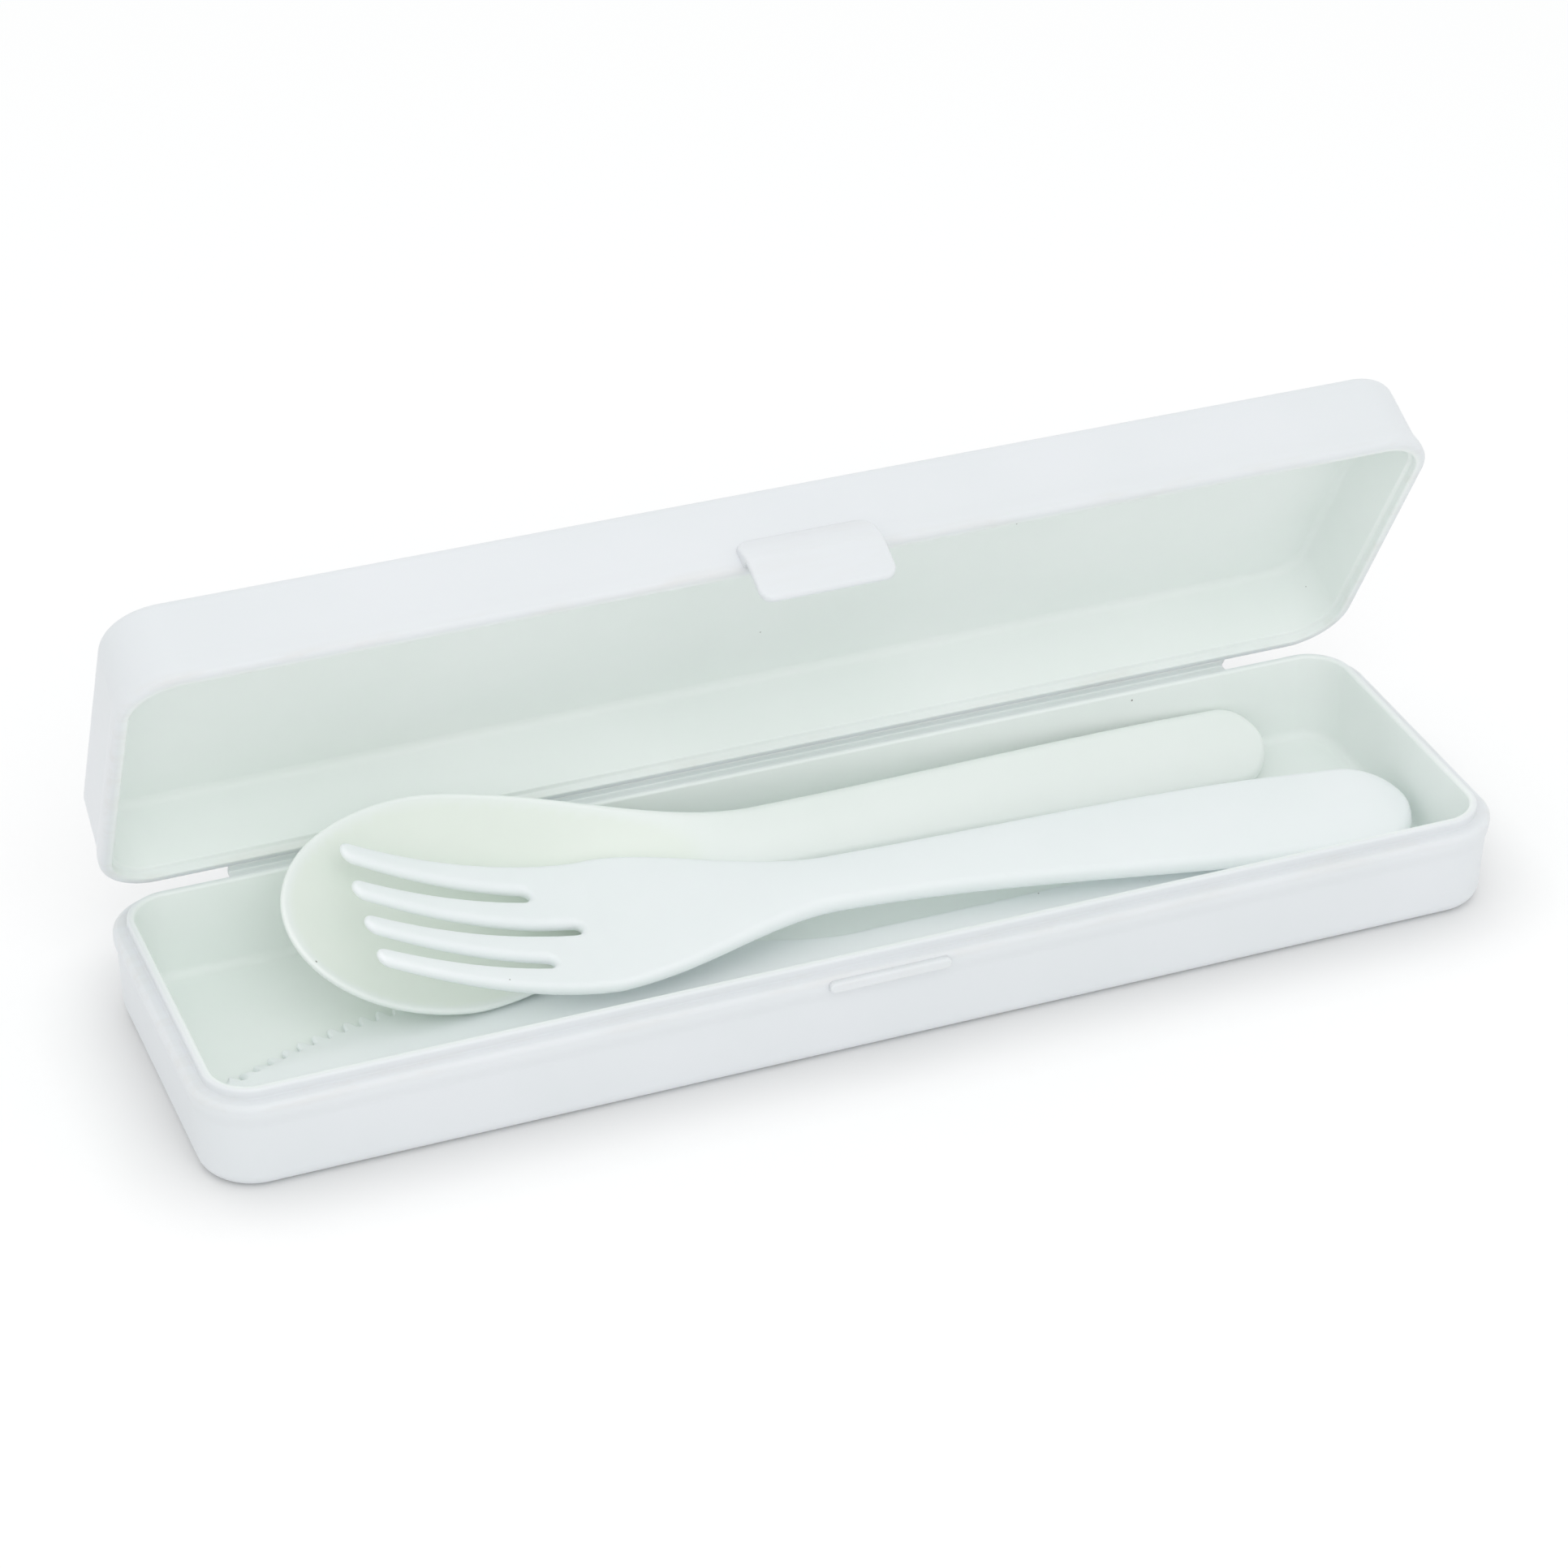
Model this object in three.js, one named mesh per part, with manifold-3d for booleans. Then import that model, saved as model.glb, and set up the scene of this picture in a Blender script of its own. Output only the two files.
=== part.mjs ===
// A moulded cutlery case with a film hinge, standing open, and the fork, spoon and knife that lie in it.
// Millimetres, +Z up. X runs along the case, the hinge is at the back (+Y), and the origin is the middle
// of the base's underside.

import * as THREE from 'three';
import { mergeVertices } from 'three/addons/utils/BufferGeometryUtils.js';
import Module from 'manifold-3d';

const wasm = await Module();
wasm.setup();

// Case, outside
const CASE_LENGTH = 200;
const CASE_WIDTH = 55.9;
const BASE_HEIGHT = 14.4; // underside to the ledge that carries the lid
const LID_HEIGHT = 13.8; // rim to top
const CORNER_RADIUS = 8.9; // corners seen from above
const EDGE_RADIUS = 2.4; // bottom edge of the base, top edge of the lid
const OUTER_DRAFT = 2; // degrees
const LID_OPEN = 62; // degrees, as it stands

// Case, walls and rims
const FLOOR_THICKNESS = 1.5;
const TOP_THICKNESS = 1.4;
const LEDGE_WIDTH = 2.1; // ledge round the base that the lid's rim sits on
const LIP_THICKNESS = 1.2; // lip inside the ledge, which guides the lid
const LIP_HEIGHT = 1.5;
const LIP_ROUNDING = 0.4;
const LID_WALL = 2.4; // above the step that clears the lip
const INNER_DRAFT = 1; // degrees
const INNER_FILLET = 1.5;
const BAND_HEIGHT = 2.6; // slightly raised band along both rims
const BAND_PROUD = 0.3;
const RIM_ROUNDING = 0.6;
const PART_GAP = 0.3; // between pieces that touch

// Film hinge
const HINGE_INSET = 19.6; // from each end of the case to the film
const HINGE_FILM = 0.5; // thickness
const HINGE_REACH = 0.85; // back rim to the hinge line

// Snap tab on the lid and the catch below the base's rim
const TAB_WIDTH = 20.6;
const TAB_RAMP = 4.9; // height of the sloping root above the rim
const TAB_HANG = 6.9; // length below the rim
const TAB_THICKNESS = 1.4;
const TAB_CORNER = 2;
const CATCH_WIDTH = 18.6;
const CATCH_HEIGHT = 1.7;
const CATCH_PROUD = 0.9;
const CATCH_BELOW = 0.4; // ledge to the catch

// Knife
const KNIFE_ROOM = 25; // inside length less the knife
const KNIFE_TIP_ROOM = 4.4; // tip to the left end
const KNIFE_FRONT_ROOM = 19; // front wall to the axis at the tip
const KNIFE_YAW = -2.4; // degrees
const BLADE_LENGTH = 86;
const BLADE_ROOM = 29; // inside width less the blade
const BLADE_THICKNESS = 2;
const BLADE_EDGE = 0.9; // thickness at the teeth
const POINT_LENGTH = 30; // part of the edge that curves in to the point
const KNIFE_NECK = 11;
const KNIFE_END = 15;
const KNIFE_HANDLE = 2.8; // thickness
const TOOTH_PITCH = 2.66;
const TOOTH_DEPTH = 2.2;
const TOOTH_RUN = 66; // toothed length of the edge

// Spoon
const SPOON_ROOM = 30; // inside length less the spoon
const SPOON_TIP_ROOM = 16.8; // tip to the left end
const SPOON_BACK_ROOM = 0.1; // bowl's raised edge to the back wall
const SPOON_TILT = 36; // degrees about its length
const SPOON_YAW = 4.7;
const BOWL_LENGTH = 54.4;
const BOWL_ROOM = 14.4; // inside width less the bowl
const BOWL_DEPTH = 7.4;
const BOWL_WALL = 1.9;
const NECK_TAPER = 22; // bowl's end to the narrowest part of the neck
const SPOON_NECK = 10.6;
const SPOON_END = 13.2;
const SPOON_HANDLE = 2.8; // thickness
const TIP_LIFT = 5; // rise of the bowl's rim towards its tip
const SPOON_ARCH = 0.8; // rise of the handle's middle
const SPOON_KICK = 3.3; // rise of the handle's end over the bowl's rim

// Fork
const FORK_ROOM = 29; // inside length less the fork
const FORK_END_ROOM = 1.6; // handle's end to the right end
const FORK_FRONT_ROOM = 17.7; // front wall to the axis at the handle's end
const FORK_TILT = 10.5; // degrees about its length
const FORK_YAW = -3.7;
const HEAD_ROOM = 22.6; // inside width less the head
const TIP_INSET = 0.7; // narrowing of each side of the head at the tips
const HEAD_LENGTH = 36;
const HEAD_THICKNESS = 2.3;
const HEAD_CUP = 0.8; // rise of the head's sides
const FORK_NECK = 10.4;
const NECK_FROM_TIP = 71;
const FORK_END = 17.6;
const FORK_HANDLE = 2.8; // thickness
const TINE_LENGTH = 26;
const MIDDLE_SLOT = 6; // extra length of the middle slot
const TINE_COUNT = 4;
const TINE_TIP = 3; // width at the tips
const SLOT_WIDTH = 2.2; // at the roots
const TINE_LIFT = 13.3; // rise of the tips over the head
const FORK_ARCH = 2.2; // rise of the handle's middle
const FORK_KICK = - 3.5; // rise of the handle's end over the head

const CROWN = 0.4; // rise of each handle's middle line

const deg = THREE.MathUtils.degToRad;
const smooth = THREE.MathUtils.smoothstep;

// Derived places
const halfLength = CASE_LENGTH / 2;
const halfWidth = CASE_WIDTH / 2;
const lipInset = LEDGE_WIDTH + LIP_THICKNESS;
const lipTop = BASE_HEIGHT + LIP_HEIGHT;
const floorInset = lipInset + ( lipTop - FLOOR_THICKNESS ) * Math.tan( deg( INNER_DRAFT ) );
const insideLength = CASE_LENGTH - 2 * floorInset;
const insideWidth = CASE_WIDTH - 2 * floorInset;
const lidRim = BASE_HEIGHT + PART_GAP; // height of the closed lid's rim
const lidTop = lidRim + LID_HEIGHT;
const hingeY = halfWidth + HINGE_REACH;
const hingeZ = ( BASE_HEIGHT + lidRim ) / 2;
const catchFace = halfWidth + CATCH_PROUD;
const tabInner = catchFace + PART_GAP;
const tabOuter = tabInner + TAB_THICKNESS;
const knifeFloor = FLOOR_THICKNESS + PART_GAP;

// Closed skin through rings of points, each ring in the same order, with both ends drawn to a point.
function skin( rings, first, last ) {

	const count = rings[ 0 ].length;
	const points = [ ...rings.flat(), first, last ];
	const start = rings.length * count;
	const triangles = [];

	for ( let i = 0; i < count; i ++ ) {

		const j = ( i + 1 ) % count;
		const top = ( rings.length - 1 ) * count;
		triangles.push( start, j, i );
		triangles.push( start + 1, top + i, top + j );

		for ( let k = 0; k < rings.length - 1; k ++ ) {

			const a = k * count;
			const b = a + count;
			triangles.push( a + i, a + j, b + j );
			triangles.push( a + i, b + j, b + i );

		}

	}

	return new THREE.BufferGeometry().setFromPoints( points ).setIndex( triangles );

}

// Joining and cutting of closed geometry
function toSolid( geometry ) {

	const bare = geometry.clone();
	bare.deleteAttribute( 'normal' );
	bare.deleteAttribute( 'uv' );
	const merged = mergeVertices( bare, 1e-4 );
	const vertProperties = new Float32Array( merged.attributes.position.array );
	const triVerts = new Uint32Array( merged.index.array );
	return new wasm.Manifold( new wasm.Mesh( { numProp: 3, vertProperties, triVerts } ) );

}

function toGeometry( solid ) {

	const { vertProperties, triVerts } = solid.getMesh();
	const geometry = new THREE.BufferGeometry();
	geometry.setAttribute( 'position', new THREE.BufferAttribute( new Float32Array( vertProperties ), 3 ) );
	geometry.setIndex( new THREE.BufferAttribute( new Uint32Array( triVerts ), 1 ) );
	return geometry;

}

// Prism of a drawn outline. The axes name what the outline's own x and y lie along.
function prism( shape, depth, xAxis, yAxis, options = {} ) {

	const zAxis = new THREE.Vector3().crossVectors( xAxis, yAxis );
	const settings = { depth, bevelEnabled: false, curveSegments: 5, ...options };
	const geometry = new THREE.ExtrudeGeometry( shape, settings );
	return geometry.applyMatrix4( new THREE.Matrix4().makeBasis( xAxis, yAxis, zAxis ) );

}

const X = new THREE.Vector3( 1, 0, 0 );
const Y = new THREE.Vector3( 0, 1, 0 );
const Z = new THREE.Vector3( 0, 0, 1 );

function roundedRectangle( width, height, radius ) {

	const shape = new THREE.Shape();
	const x = width / 2 - radius;
	const y = height / 2 - radius;
	shape.absarc( x, y, radius, 0, Math.PI / 2 );
	shape.absarc( - x, y, radius, Math.PI / 2, Math.PI );
	shape.absarc( - x, - y, radius, Math.PI, 1.5 * Math.PI );
	shape.absarc( x, - y, radius, 1.5 * Math.PI, 2 * Math.PI );
	return shape;

}

// Case shells: a profile of [inset, height] pairs is carried round the rounded rectangle of the case.
function arc( inset, height, radius, from, to, steps ) {

	return Array.from( { length: steps + 1 }, ( _, i ) => {

		const angle = deg( from + ( to - from ) * i / steps );
		return [ inset - radius * Math.cos( angle ), height + radius * Math.sin( angle ) ];

	} );

}

function caseRing( inset, height ) {

	const radius = CORNER_RADIUS - inset;
	const steps = 8;
	const points = [];

	for ( const [ corner, sx, sy ] of [ [ 0, 1, 1 ], [ 1, - 1, 1 ], [ 2, - 1, - 1 ], [ 3, 1, - 1 ] ] ) {

		for ( let i = 0; i <= steps; i ++ ) {

			const angle = ( corner + i / steps ) * Math.PI / 2;
			const x = sx * ( halfLength - CORNER_RADIUS ) + radius * Math.cos( angle );
			const y = sy * ( halfWidth - CORNER_RADIUS ) + radius * Math.sin( angle );
			points.push( new THREE.Vector3( x, y, height ) );

		}

	}

	return points;

}

function caseShell( profile ) {

	const rings = profile.map( ( [ inset, height ] ) => caseRing( inset, height ) );
	const first = new THREE.Vector3( 0, 0, profile[ 0 ][ 1 ] );
	const last = new THREE.Vector3( 0, 0, profile.at( - 1 )[ 1 ] );
	return skin( rings, first, last );

}

// Outside of a half from its closed end to its rim, as [inset, distance from the rim]
function outsideProfile( height ) {

	const lean = ( depth ) => BAND_PROUD + depth * Math.tan( deg( OUTER_DRAFT ) );
	const corner = lean( height - EDGE_RADIUS ) + EDGE_RADIUS;
	return [
		...arc( corner, height - EDGE_RADIUS, EDGE_RADIUS, 90, 0, 6 ),
		[ lean( BAND_HEIGHT + BAND_PROUD ), BAND_HEIGHT + BAND_PROUD ],
		[ 0, BAND_HEIGHT - BAND_PROUD ],
		...arc( RIM_ROUNDING, RIM_ROUNDING, RIM_ROUNDING, 0, - 90, 3 ),
	];

}

function makeBase() {

	const outside = outsideProfile( BASE_HEIGHT ).map( ( [ inset, depth ] ) => [ inset, BASE_HEIGHT - depth ] );
	const lipArc = lipTop - LIP_ROUNDING;
	const profile = [
		...outside,
		[ LEDGE_WIDTH, BASE_HEIGHT ],
		...arc( LEDGE_WIDTH + LIP_ROUNDING, lipArc, LIP_ROUNDING, 0, 90, 2 ),
		...arc( lipInset - LIP_ROUNDING, lipArc, LIP_ROUNDING, 90, 180, 2 ),
		...arc( floorInset + INNER_FILLET, FLOOR_THICKNESS + INNER_FILLET, INNER_FILLET, 0, - 90, 4 ),
	];

	const film = roundedRectangle( CASE_LENGTH - 2 * HINGE_INSET, HINGE_FILM, HINGE_FILM / 3 );
	const filmDepth = HINGE_REACH + LEDGE_WIDTH - PART_GAP / 2;
	const hingeHalf = prism( film, filmDepth, X, Z );
	hingeHalf.translate( 0, hingeY - PART_GAP / 2, BASE_HEIGHT - HINGE_FILM / 2 );

	const bar = roundedRectangle( CATCH_WIDTH, CATCH_HEIGHT, CATCH_HEIGHT / 2 - 0.1 );
	const bevel = { bevelEnabled: true, bevelThickness: 0.4, bevelSize: 0.3, bevelOffset: - 0.3, bevelSegments: 2 };
	const catchBar = prism( bar, CATCH_PROUD + LEDGE_WIDTH / 2, X, Z, bevel );
	const catchBack = - catchFace + bevel.bevelThickness + CATCH_PROUD + LEDGE_WIDTH / 2;
	catchBar.translate( 0, catchBack, BASE_HEIGHT - CATCH_BELOW - CATCH_HEIGHT / 2 );

	return toGeometry( toSolid( caseShell( profile ) ).add( toSolid( hingeHalf ) ).add( toSolid( catchBar ) ) );

}

// The lid is drawn closed, upside down from the base, with a step that clears the base's lip.
function makeLid() {

	const outside = outsideProfile( LID_HEIGHT ).map( ( [ inset, depth ] ) => [ inset, lidRim + depth ] );
	const stepInset = LEDGE_WIDTH - PART_GAP;
	const stepHeight = lipTop + PART_GAP;
	const ceiling = lidTop - TOP_THICKNESS;
	const ceilingInset = LID_WALL + ( ceiling - stepHeight ) * Math.tan( deg( OUTER_DRAFT ) );
	const profile = [
		...outside,
		[ stepInset, lidRim ],
		[ stepInset, stepHeight - PART_GAP ],
		[ LID_WALL, stepHeight ],
		...arc( ceilingInset + INNER_FILLET, ceiling - INNER_FILLET, INNER_FILLET, 0, 90, 4 ),
	];
	// Read from the inside out, so that the skin still starts at its lower end.
	const shell = toSolid( caseShell( profile.reverse() ) );

	const film = roundedRectangle( CASE_LENGTH - 2 * HINGE_INSET, HINGE_FILM, HINGE_FILM / 3 );
	const hingeHalf = prism( film, HINGE_REACH + stepInset - PART_GAP / 2, X, Z );
	hingeHalf.translate( 0, hingeY - PART_GAP / 2, lidRim + HINGE_FILM / 2 );

	// Side view of the tab: a ramp out of the wall, then a plate that hangs in front of the catch.
	const wall = halfWidth - BAND_PROUD - TAB_RAMP * Math.tan( deg( OUTER_DRAFT ) );
	const rampTop = lidRim + TAB_RAMP;
	const foot = lidRim - TAB_HANG;
	const side = new THREE.Shape();
	side.moveTo( - wall + LID_WALL / 2, rampTop );
	side.lineTo( - wall, rampTop );
	side.quadraticCurveTo( - tabOuter + 0.2, lidRim + 1.2, - tabOuter + 0.1, lidRim - 0.6 );
	side.lineTo( - tabOuter, foot + TAB_THICKNESS / 2 );
	side.absarc( - ( tabInner + tabOuter ) / 2, foot + TAB_THICKNESS / 2, TAB_THICKNESS / 2, Math.PI, 2 * Math.PI );
	side.lineTo( - tabInner, lidRim );
	side.quadraticCurveTo( - tabInner, lidRim + 0.5, - tabInner + 0.5, lidRim + 0.5 );
	side.lineTo( - wall + LID_WALL / 2, lidRim + 0.5 );
	const tabSide = prism( side, TAB_WIDTH, Y, Z );
	tabSide.translate( - TAB_WIDTH / 2, 0, 0 );

	const tabHeight = TAB_RAMP + TAB_HANG;
	const face = roundedRectangle( TAB_WIDTH, tabHeight, TAB_CORNER );
	const tabFace = prism( face, tabOuter, X, Z );
	tabFace.translate( 0, - wall + LID_WALL, rampTop - tabHeight / 2 );
	const tab = toSolid( tabSide ).intersect( toSolid( tabFace ) );

	return toGeometry( shell.add( toSolid( hingeHalf ) ).add( tab ) );

}

// Cutlery is lofted along X through flat sections with rounded sides. A form gives, at each x, the two
// sides of the section, and at each point the height of its middle surface and its thickness.
function section( form, x, across ) {

	const [ low, high ] = form.sides( x );
	const round = Math.min( form.thickness( x, high ), high - low ) / 2;
	const tuck = Math.min( form.thickness( x, low ), high - low ) / 2;
	const points = [];
	const place = ( y, offset ) => points.push( new THREE.Vector3( x, y, form.height( x, y ) + offset ) );
	const row = ( i ) => THREE.MathUtils.lerp( high - round, low + tuck, i / across );

	for ( let i = 0; i <= across; i ++ ) place( row( i ), form.thickness( x, row( i ) ) / 2 );

	for ( const angle of [ 40, 90, 140 ].map( deg ) ) {

		place( low + tuck - tuck * Math.sin( angle ), form.thickness( x, low ) / 2 * Math.cos( angle ) );

	}

	for ( let i = across; i >= 0; i -- ) place( row( i ), - form.thickness( x, row( i ) ) / 2 );

	for ( const angle of [ 140, 90, 40 ].map( deg ) ) {

		place( high - round + round * Math.sin( angle ), form.thickness( x, high ) / 2 * Math.cos( angle ) );

	}

	return points;

}

// Stations from one place to another. They gather at the start or the end where the outline turns in.
function span( from, to, steps, gather = 'none' ) {

	const eases = {
		none: ( t ) => t,
		start: ( t ) => 1 - Math.cos( t * Math.PI / 2 ),
		end: ( t ) => Math.sin( t * Math.PI / 2 ),
	};
	return Array.from( { length: steps }, ( _, i ) => from + ( to - from ) * eases[ gather ]( i / steps ) );

}

// The first and last stations are where the loft is drawn to a point, or cut square if it is still wide.
function loft( form, stations, across ) {

	const end = ( x ) => {

		const middle = ( form.sides( x )[ 0 ] + form.sides( x )[ 1 ] ) / 2;
		return new THREE.Vector3( x, middle, form.height( x, middle ) );

	};

	const wide = stations.filter( ( x ) => form.sides( x )[ 1 ] - form.sides( x )[ 0 ] > 0.1 );
	return skin( wide.map( ( x ) => section( form, x, across ) ), end( stations[ 0 ] ), end( stations.at( - 1 ) ) );

}

// Half width of a handle that widens from its neck and ends in a half round
function handleHalf( x, neckAt, length, neck, end ) {

	const half = THREE.MathUtils.lerp( neck, end, smooth( x, neckAt, length - end ) ) / 2;
	const past = Math.max( x - ( length - end / 2 ), 0 ) / ( end / 2 );
	return half * Math.sqrt( Math.max( 1 - past * past, 0 ) );

}

function handleCrown( half, y ) {

	return half > 0 ? CROWN * Math.max( 1 - ( y / half ) ** 2, 0 ) : 0;

}

// Knife, from its point at x = 0, with its teeth on the +Y side and its underside flat
const knifeLength = insideLength - KNIFE_ROOM;
const bladeWidth = insideWidth - BLADE_ROOM;
const knife = {

	edge: ( x ) => bladeWidth * 0.55 * ( 1 - Math.max( 1 - x / POINT_LENGTH, 0 ) ** 1.7 ),

	spine: ( x ) => - bladeWidth * 0.45 * Math.sqrt( 1 - Math.max( 1 - x / 9, 0 ) ** 2 ),

	sides: ( x ) => {

		const half = handleHalf( x, BLADE_LENGTH + 12, knifeLength, KNIFE_NECK, KNIFE_END );
		const blend = smooth( x, BLADE_LENGTH - 10, BLADE_LENGTH + 10 );
		const low = THREE.MathUtils.lerp( knife.spine( x ), - half, blend );
		const high = THREE.MathUtils.lerp( knife.edge( x ), half, blend );
		return [ low, high ];

	},

	thickness: ( x, y ) => {

		const handle = smooth( x, BLADE_LENGTH - 10, BLADE_LENGTH + 20 );
		const bevel = smooth( y, 0, knife.edge( x ) );
		const blade = THREE.MathUtils.lerp( BLADE_THICKNESS, BLADE_EDGE, bevel );
		return THREE.MathUtils.lerp( blade, KNIFE_HANDLE, handle );

	},

	height: ( x, y ) => knife.thickness( x, y ) / 2,

};

// Rounded teeth are left between notches set square to the edge, one after another along it.
function makeKnife() {

	const endAt = knifeLength - KNIFE_END / 2;
	const stations = [
		...span( 0, 9, 6, 'start' ),
		...span( 9, POINT_LENGTH, 7 ),
		...span( POINT_LENGTH, BLADE_LENGTH - 12, 5 ),
		...span( BLADE_LENGTH - 12, BLADE_LENGTH + 22, 10 ),
		...span( BLADE_LENGTH + 22, endAt, 4 ),
		...span( endAt, knifeLength, 6, 'end' ),
		knifeLength,
	];
	let solid = toSolid( loft( knife, stations, 6 ) );
	const notch = new THREE.Shape();
	const half = TOOTH_PITCH / 2;
	const flank = TOOTH_PITCH / 6;
	notch.moveTo( 0, - TOOTH_DEPTH );
	notch.bezierCurveTo( flank, - TOOTH_DEPTH, flank, 0, half, 0 );
	notch.lineTo( half, TOOTH_DEPTH );
	notch.lineTo( - half, TOOTH_DEPTH );
	notch.lineTo( - half, 0 );
	notch.bezierCurveTo( - flank, 0, - flank, - TOOTH_DEPTH, 0, - TOOTH_DEPTH );
	const step = 0.2;
	let travelled = TOOTH_PITCH / 2;

	for ( let x = 1; x < TOOTH_RUN; x += step ) {

		const rise = knife.edge( x + step ) - knife.edge( x );
		travelled += Math.hypot( step, rise );

		if ( travelled >= TOOTH_PITCH ) {

			travelled -= TOOTH_PITCH;
			const cutter = prism( notch, 2 * BLADE_THICKNESS, X, Y, { curveSegments: 4 } );
			cutter.translate( 0, 0, - BLADE_THICKNESS / 2 );
			cutter.rotateZ( Math.atan2( rise, step ) );
			cutter.translate( x, knife.edge( x ), 0 );
			solid = solid.subtract( toSolid( cutter ) );

		}

	}

	return toGeometry( solid );

}

// Spoon, with its bowl's middle at x = 0 and its rim near z = 0
const spoonLength = insideLength - SPOON_ROOM;
const bowlHalf = ( insideWidth - BOWL_ROOM ) / 2;
const spoonNeckAt = BOWL_LENGTH + NECK_TAPER;
const spoon = {

	half: ( x ) => {

		const fromTip = x + BOWL_LENGTH / 2;
		const round = bowlHalf * Math.sqrt( Math.max( 1 - Math.min( x / ( BOWL_LENGTH / 2 ), 0 ) ** 2, 0 ) );
		const taper = smooth( fromTip, 0.45 * BOWL_LENGTH, spoonNeckAt );
		const bowl = THREE.MathUtils.lerp( round, SPOON_NECK / 2, taper );
		const handle = handleHalf( fromTip, spoonNeckAt, spoonLength, SPOON_NECK, SPOON_END );
		return fromTip < spoonNeckAt ? bowl : handle;

	},

	sides: ( x ) => [ - spoon.half( x ), spoon.half( x ) ],

	dish: ( x, y ) => {

		const tipward = Math.max( 1 - ( 2 * x / BOWL_LENGTH ) ** 2, 0 );
		const along = x < 0 ? tipward : 1 - smooth( x, 0, spoonNeckAt - BOWL_LENGTH / 2 );
		return along > 0 ? BOWL_DEPTH * along * Math.max( 1 - ( y / spoon.half( x ) ) ** 2, 0 ) : 0;

	},

	thickness: ( x ) => THREE.MathUtils.lerp( BOWL_WALL, SPOON_HANDLE, smooth( x, 12, 50 ) ),

	height: ( x, y ) => {

		const along = Math.max( x - BOWL_LENGTH / 6, 0 ) / ( spoonLength - BOWL_LENGTH * 2 / 3 );
		const tip = TIP_LIFT * Math.max( 0.35 - ( x + BOWL_LENGTH / 2 ) / ( 2 * BOWL_LENGTH ), 0 ) ** 2 / 0.35 ** 2;
		const line = SPOON_ARCH * Math.sin( Math.PI * along ** 0.75 ) + SPOON_KICK * along + tip;
		return line - spoon.dish( x, y ) + smooth( x, 20, 60 ) * handleCrown( spoon.half( x ), y );

	},

};

function makeSpoon() {

	const tipAt = - BOWL_LENGTH / 2;
	const neckAt = spoonNeckAt + tipAt;
	const endAt = spoonLength + tipAt - SPOON_END / 2;
	const stations = [
		...span( tipAt, 0, 13, 'start' ),
		...span( 0, neckAt, 14 ),
		...span( neckAt, endAt, 7 ),
		...span( endAt, spoonLength + tipAt, 6, 'end' ),
		spoonLength + tipAt,
	];
	return loft( spoon, stations, 10 );

}

// Fork, with its handle's end at x = 0 and its tips at x = -forkLength
const forkLength = insideLength - FORK_ROOM;
const headWidth = insideWidth - HEAD_ROOM;
const tineRoot = ( headWidth - ( TINE_COUNT - 1 ) * SLOT_WIDTH ) / TINE_COUNT;
const fork = {

	half: ( x ) => {

		const fromTip = x + forkLength;
		const head = headWidth / 2 - TIP_INSET * ( 1 - smooth( fromTip, 0, HEAD_LENGTH ) );
		const blade = THREE.MathUtils.lerp( head, FORK_NECK / 2, smooth( fromTip, HEAD_LENGTH, NECK_FROM_TIP ) );
		const handle = handleHalf( fromTip, NECK_FROM_TIP, forkLength, FORK_NECK, FORK_END );
		return fromTip < NECK_FROM_TIP ? blade : handle;

	},

	sides: ( x ) => [ - fork.half( x ), fork.half( x ) ],

	thickness: ( x ) => {

		const body = smooth( x + forkLength, HEAD_LENGTH, NECK_FROM_TIP );
		const tip = 0.92 + 0.08 * smooth( x + forkLength, 0, TINE_LENGTH );
		return THREE.MathUtils.lerp( HEAD_THICKNESS, FORK_HANDLE, body ) * tip;

	},

	height: ( x, y ) => {

		const fromTip = x + forkLength;
		const lift = TINE_LIFT * Math.max( 1 - fromTip / HEAD_LENGTH, 0 ) ** 1.7;
		const along = Math.max( fromTip - HEAD_LENGTH, 0 ) / ( forkLength - HEAD_LENGTH );
		const line = FORK_ARCH * Math.sin( Math.PI * along ** 0.8 ) + FORK_KICK * along;
		const handle = smooth( fromTip, HEAD_LENGTH, NECK_FROM_TIP );
		const cup = HEAD_CUP * ( 2 * y / headWidth ) ** 2 * ( 1 - handle );
		return lift + line + cup + handle * handleCrown( fork.half( x ), y );

	},

};

// One tine: it takes its share of the head's width, and its sides draw in towards a round tip. It is
// a hair smaller than the head, so that the two join cleanly.
function tine( index ) {

	const hair = 0.04;
	const place = 2 * index / ( TINE_COUNT - 1 ) - 1;
	return {

		...fork,

		thickness: ( x ) => fork.thickness( x ) - hair,

		sides: ( x ) => {

			const fromTip = x + forkLength;
			const width = THREE.MathUtils.lerp( TINE_TIP, tineRoot, Math.min( fromTip / TINE_LENGTH, 1 ) );
			const centre = place * ( fork.half( x ) - hair - width / 2 );
			const past = Math.max( 1 - fromTip / ( TINE_TIP / 2 ), 0 );
			const half = width / 2 * Math.sqrt( 1 - past * past );
			return [ centre - half, centre + half ];

		},

	};

}

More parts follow.
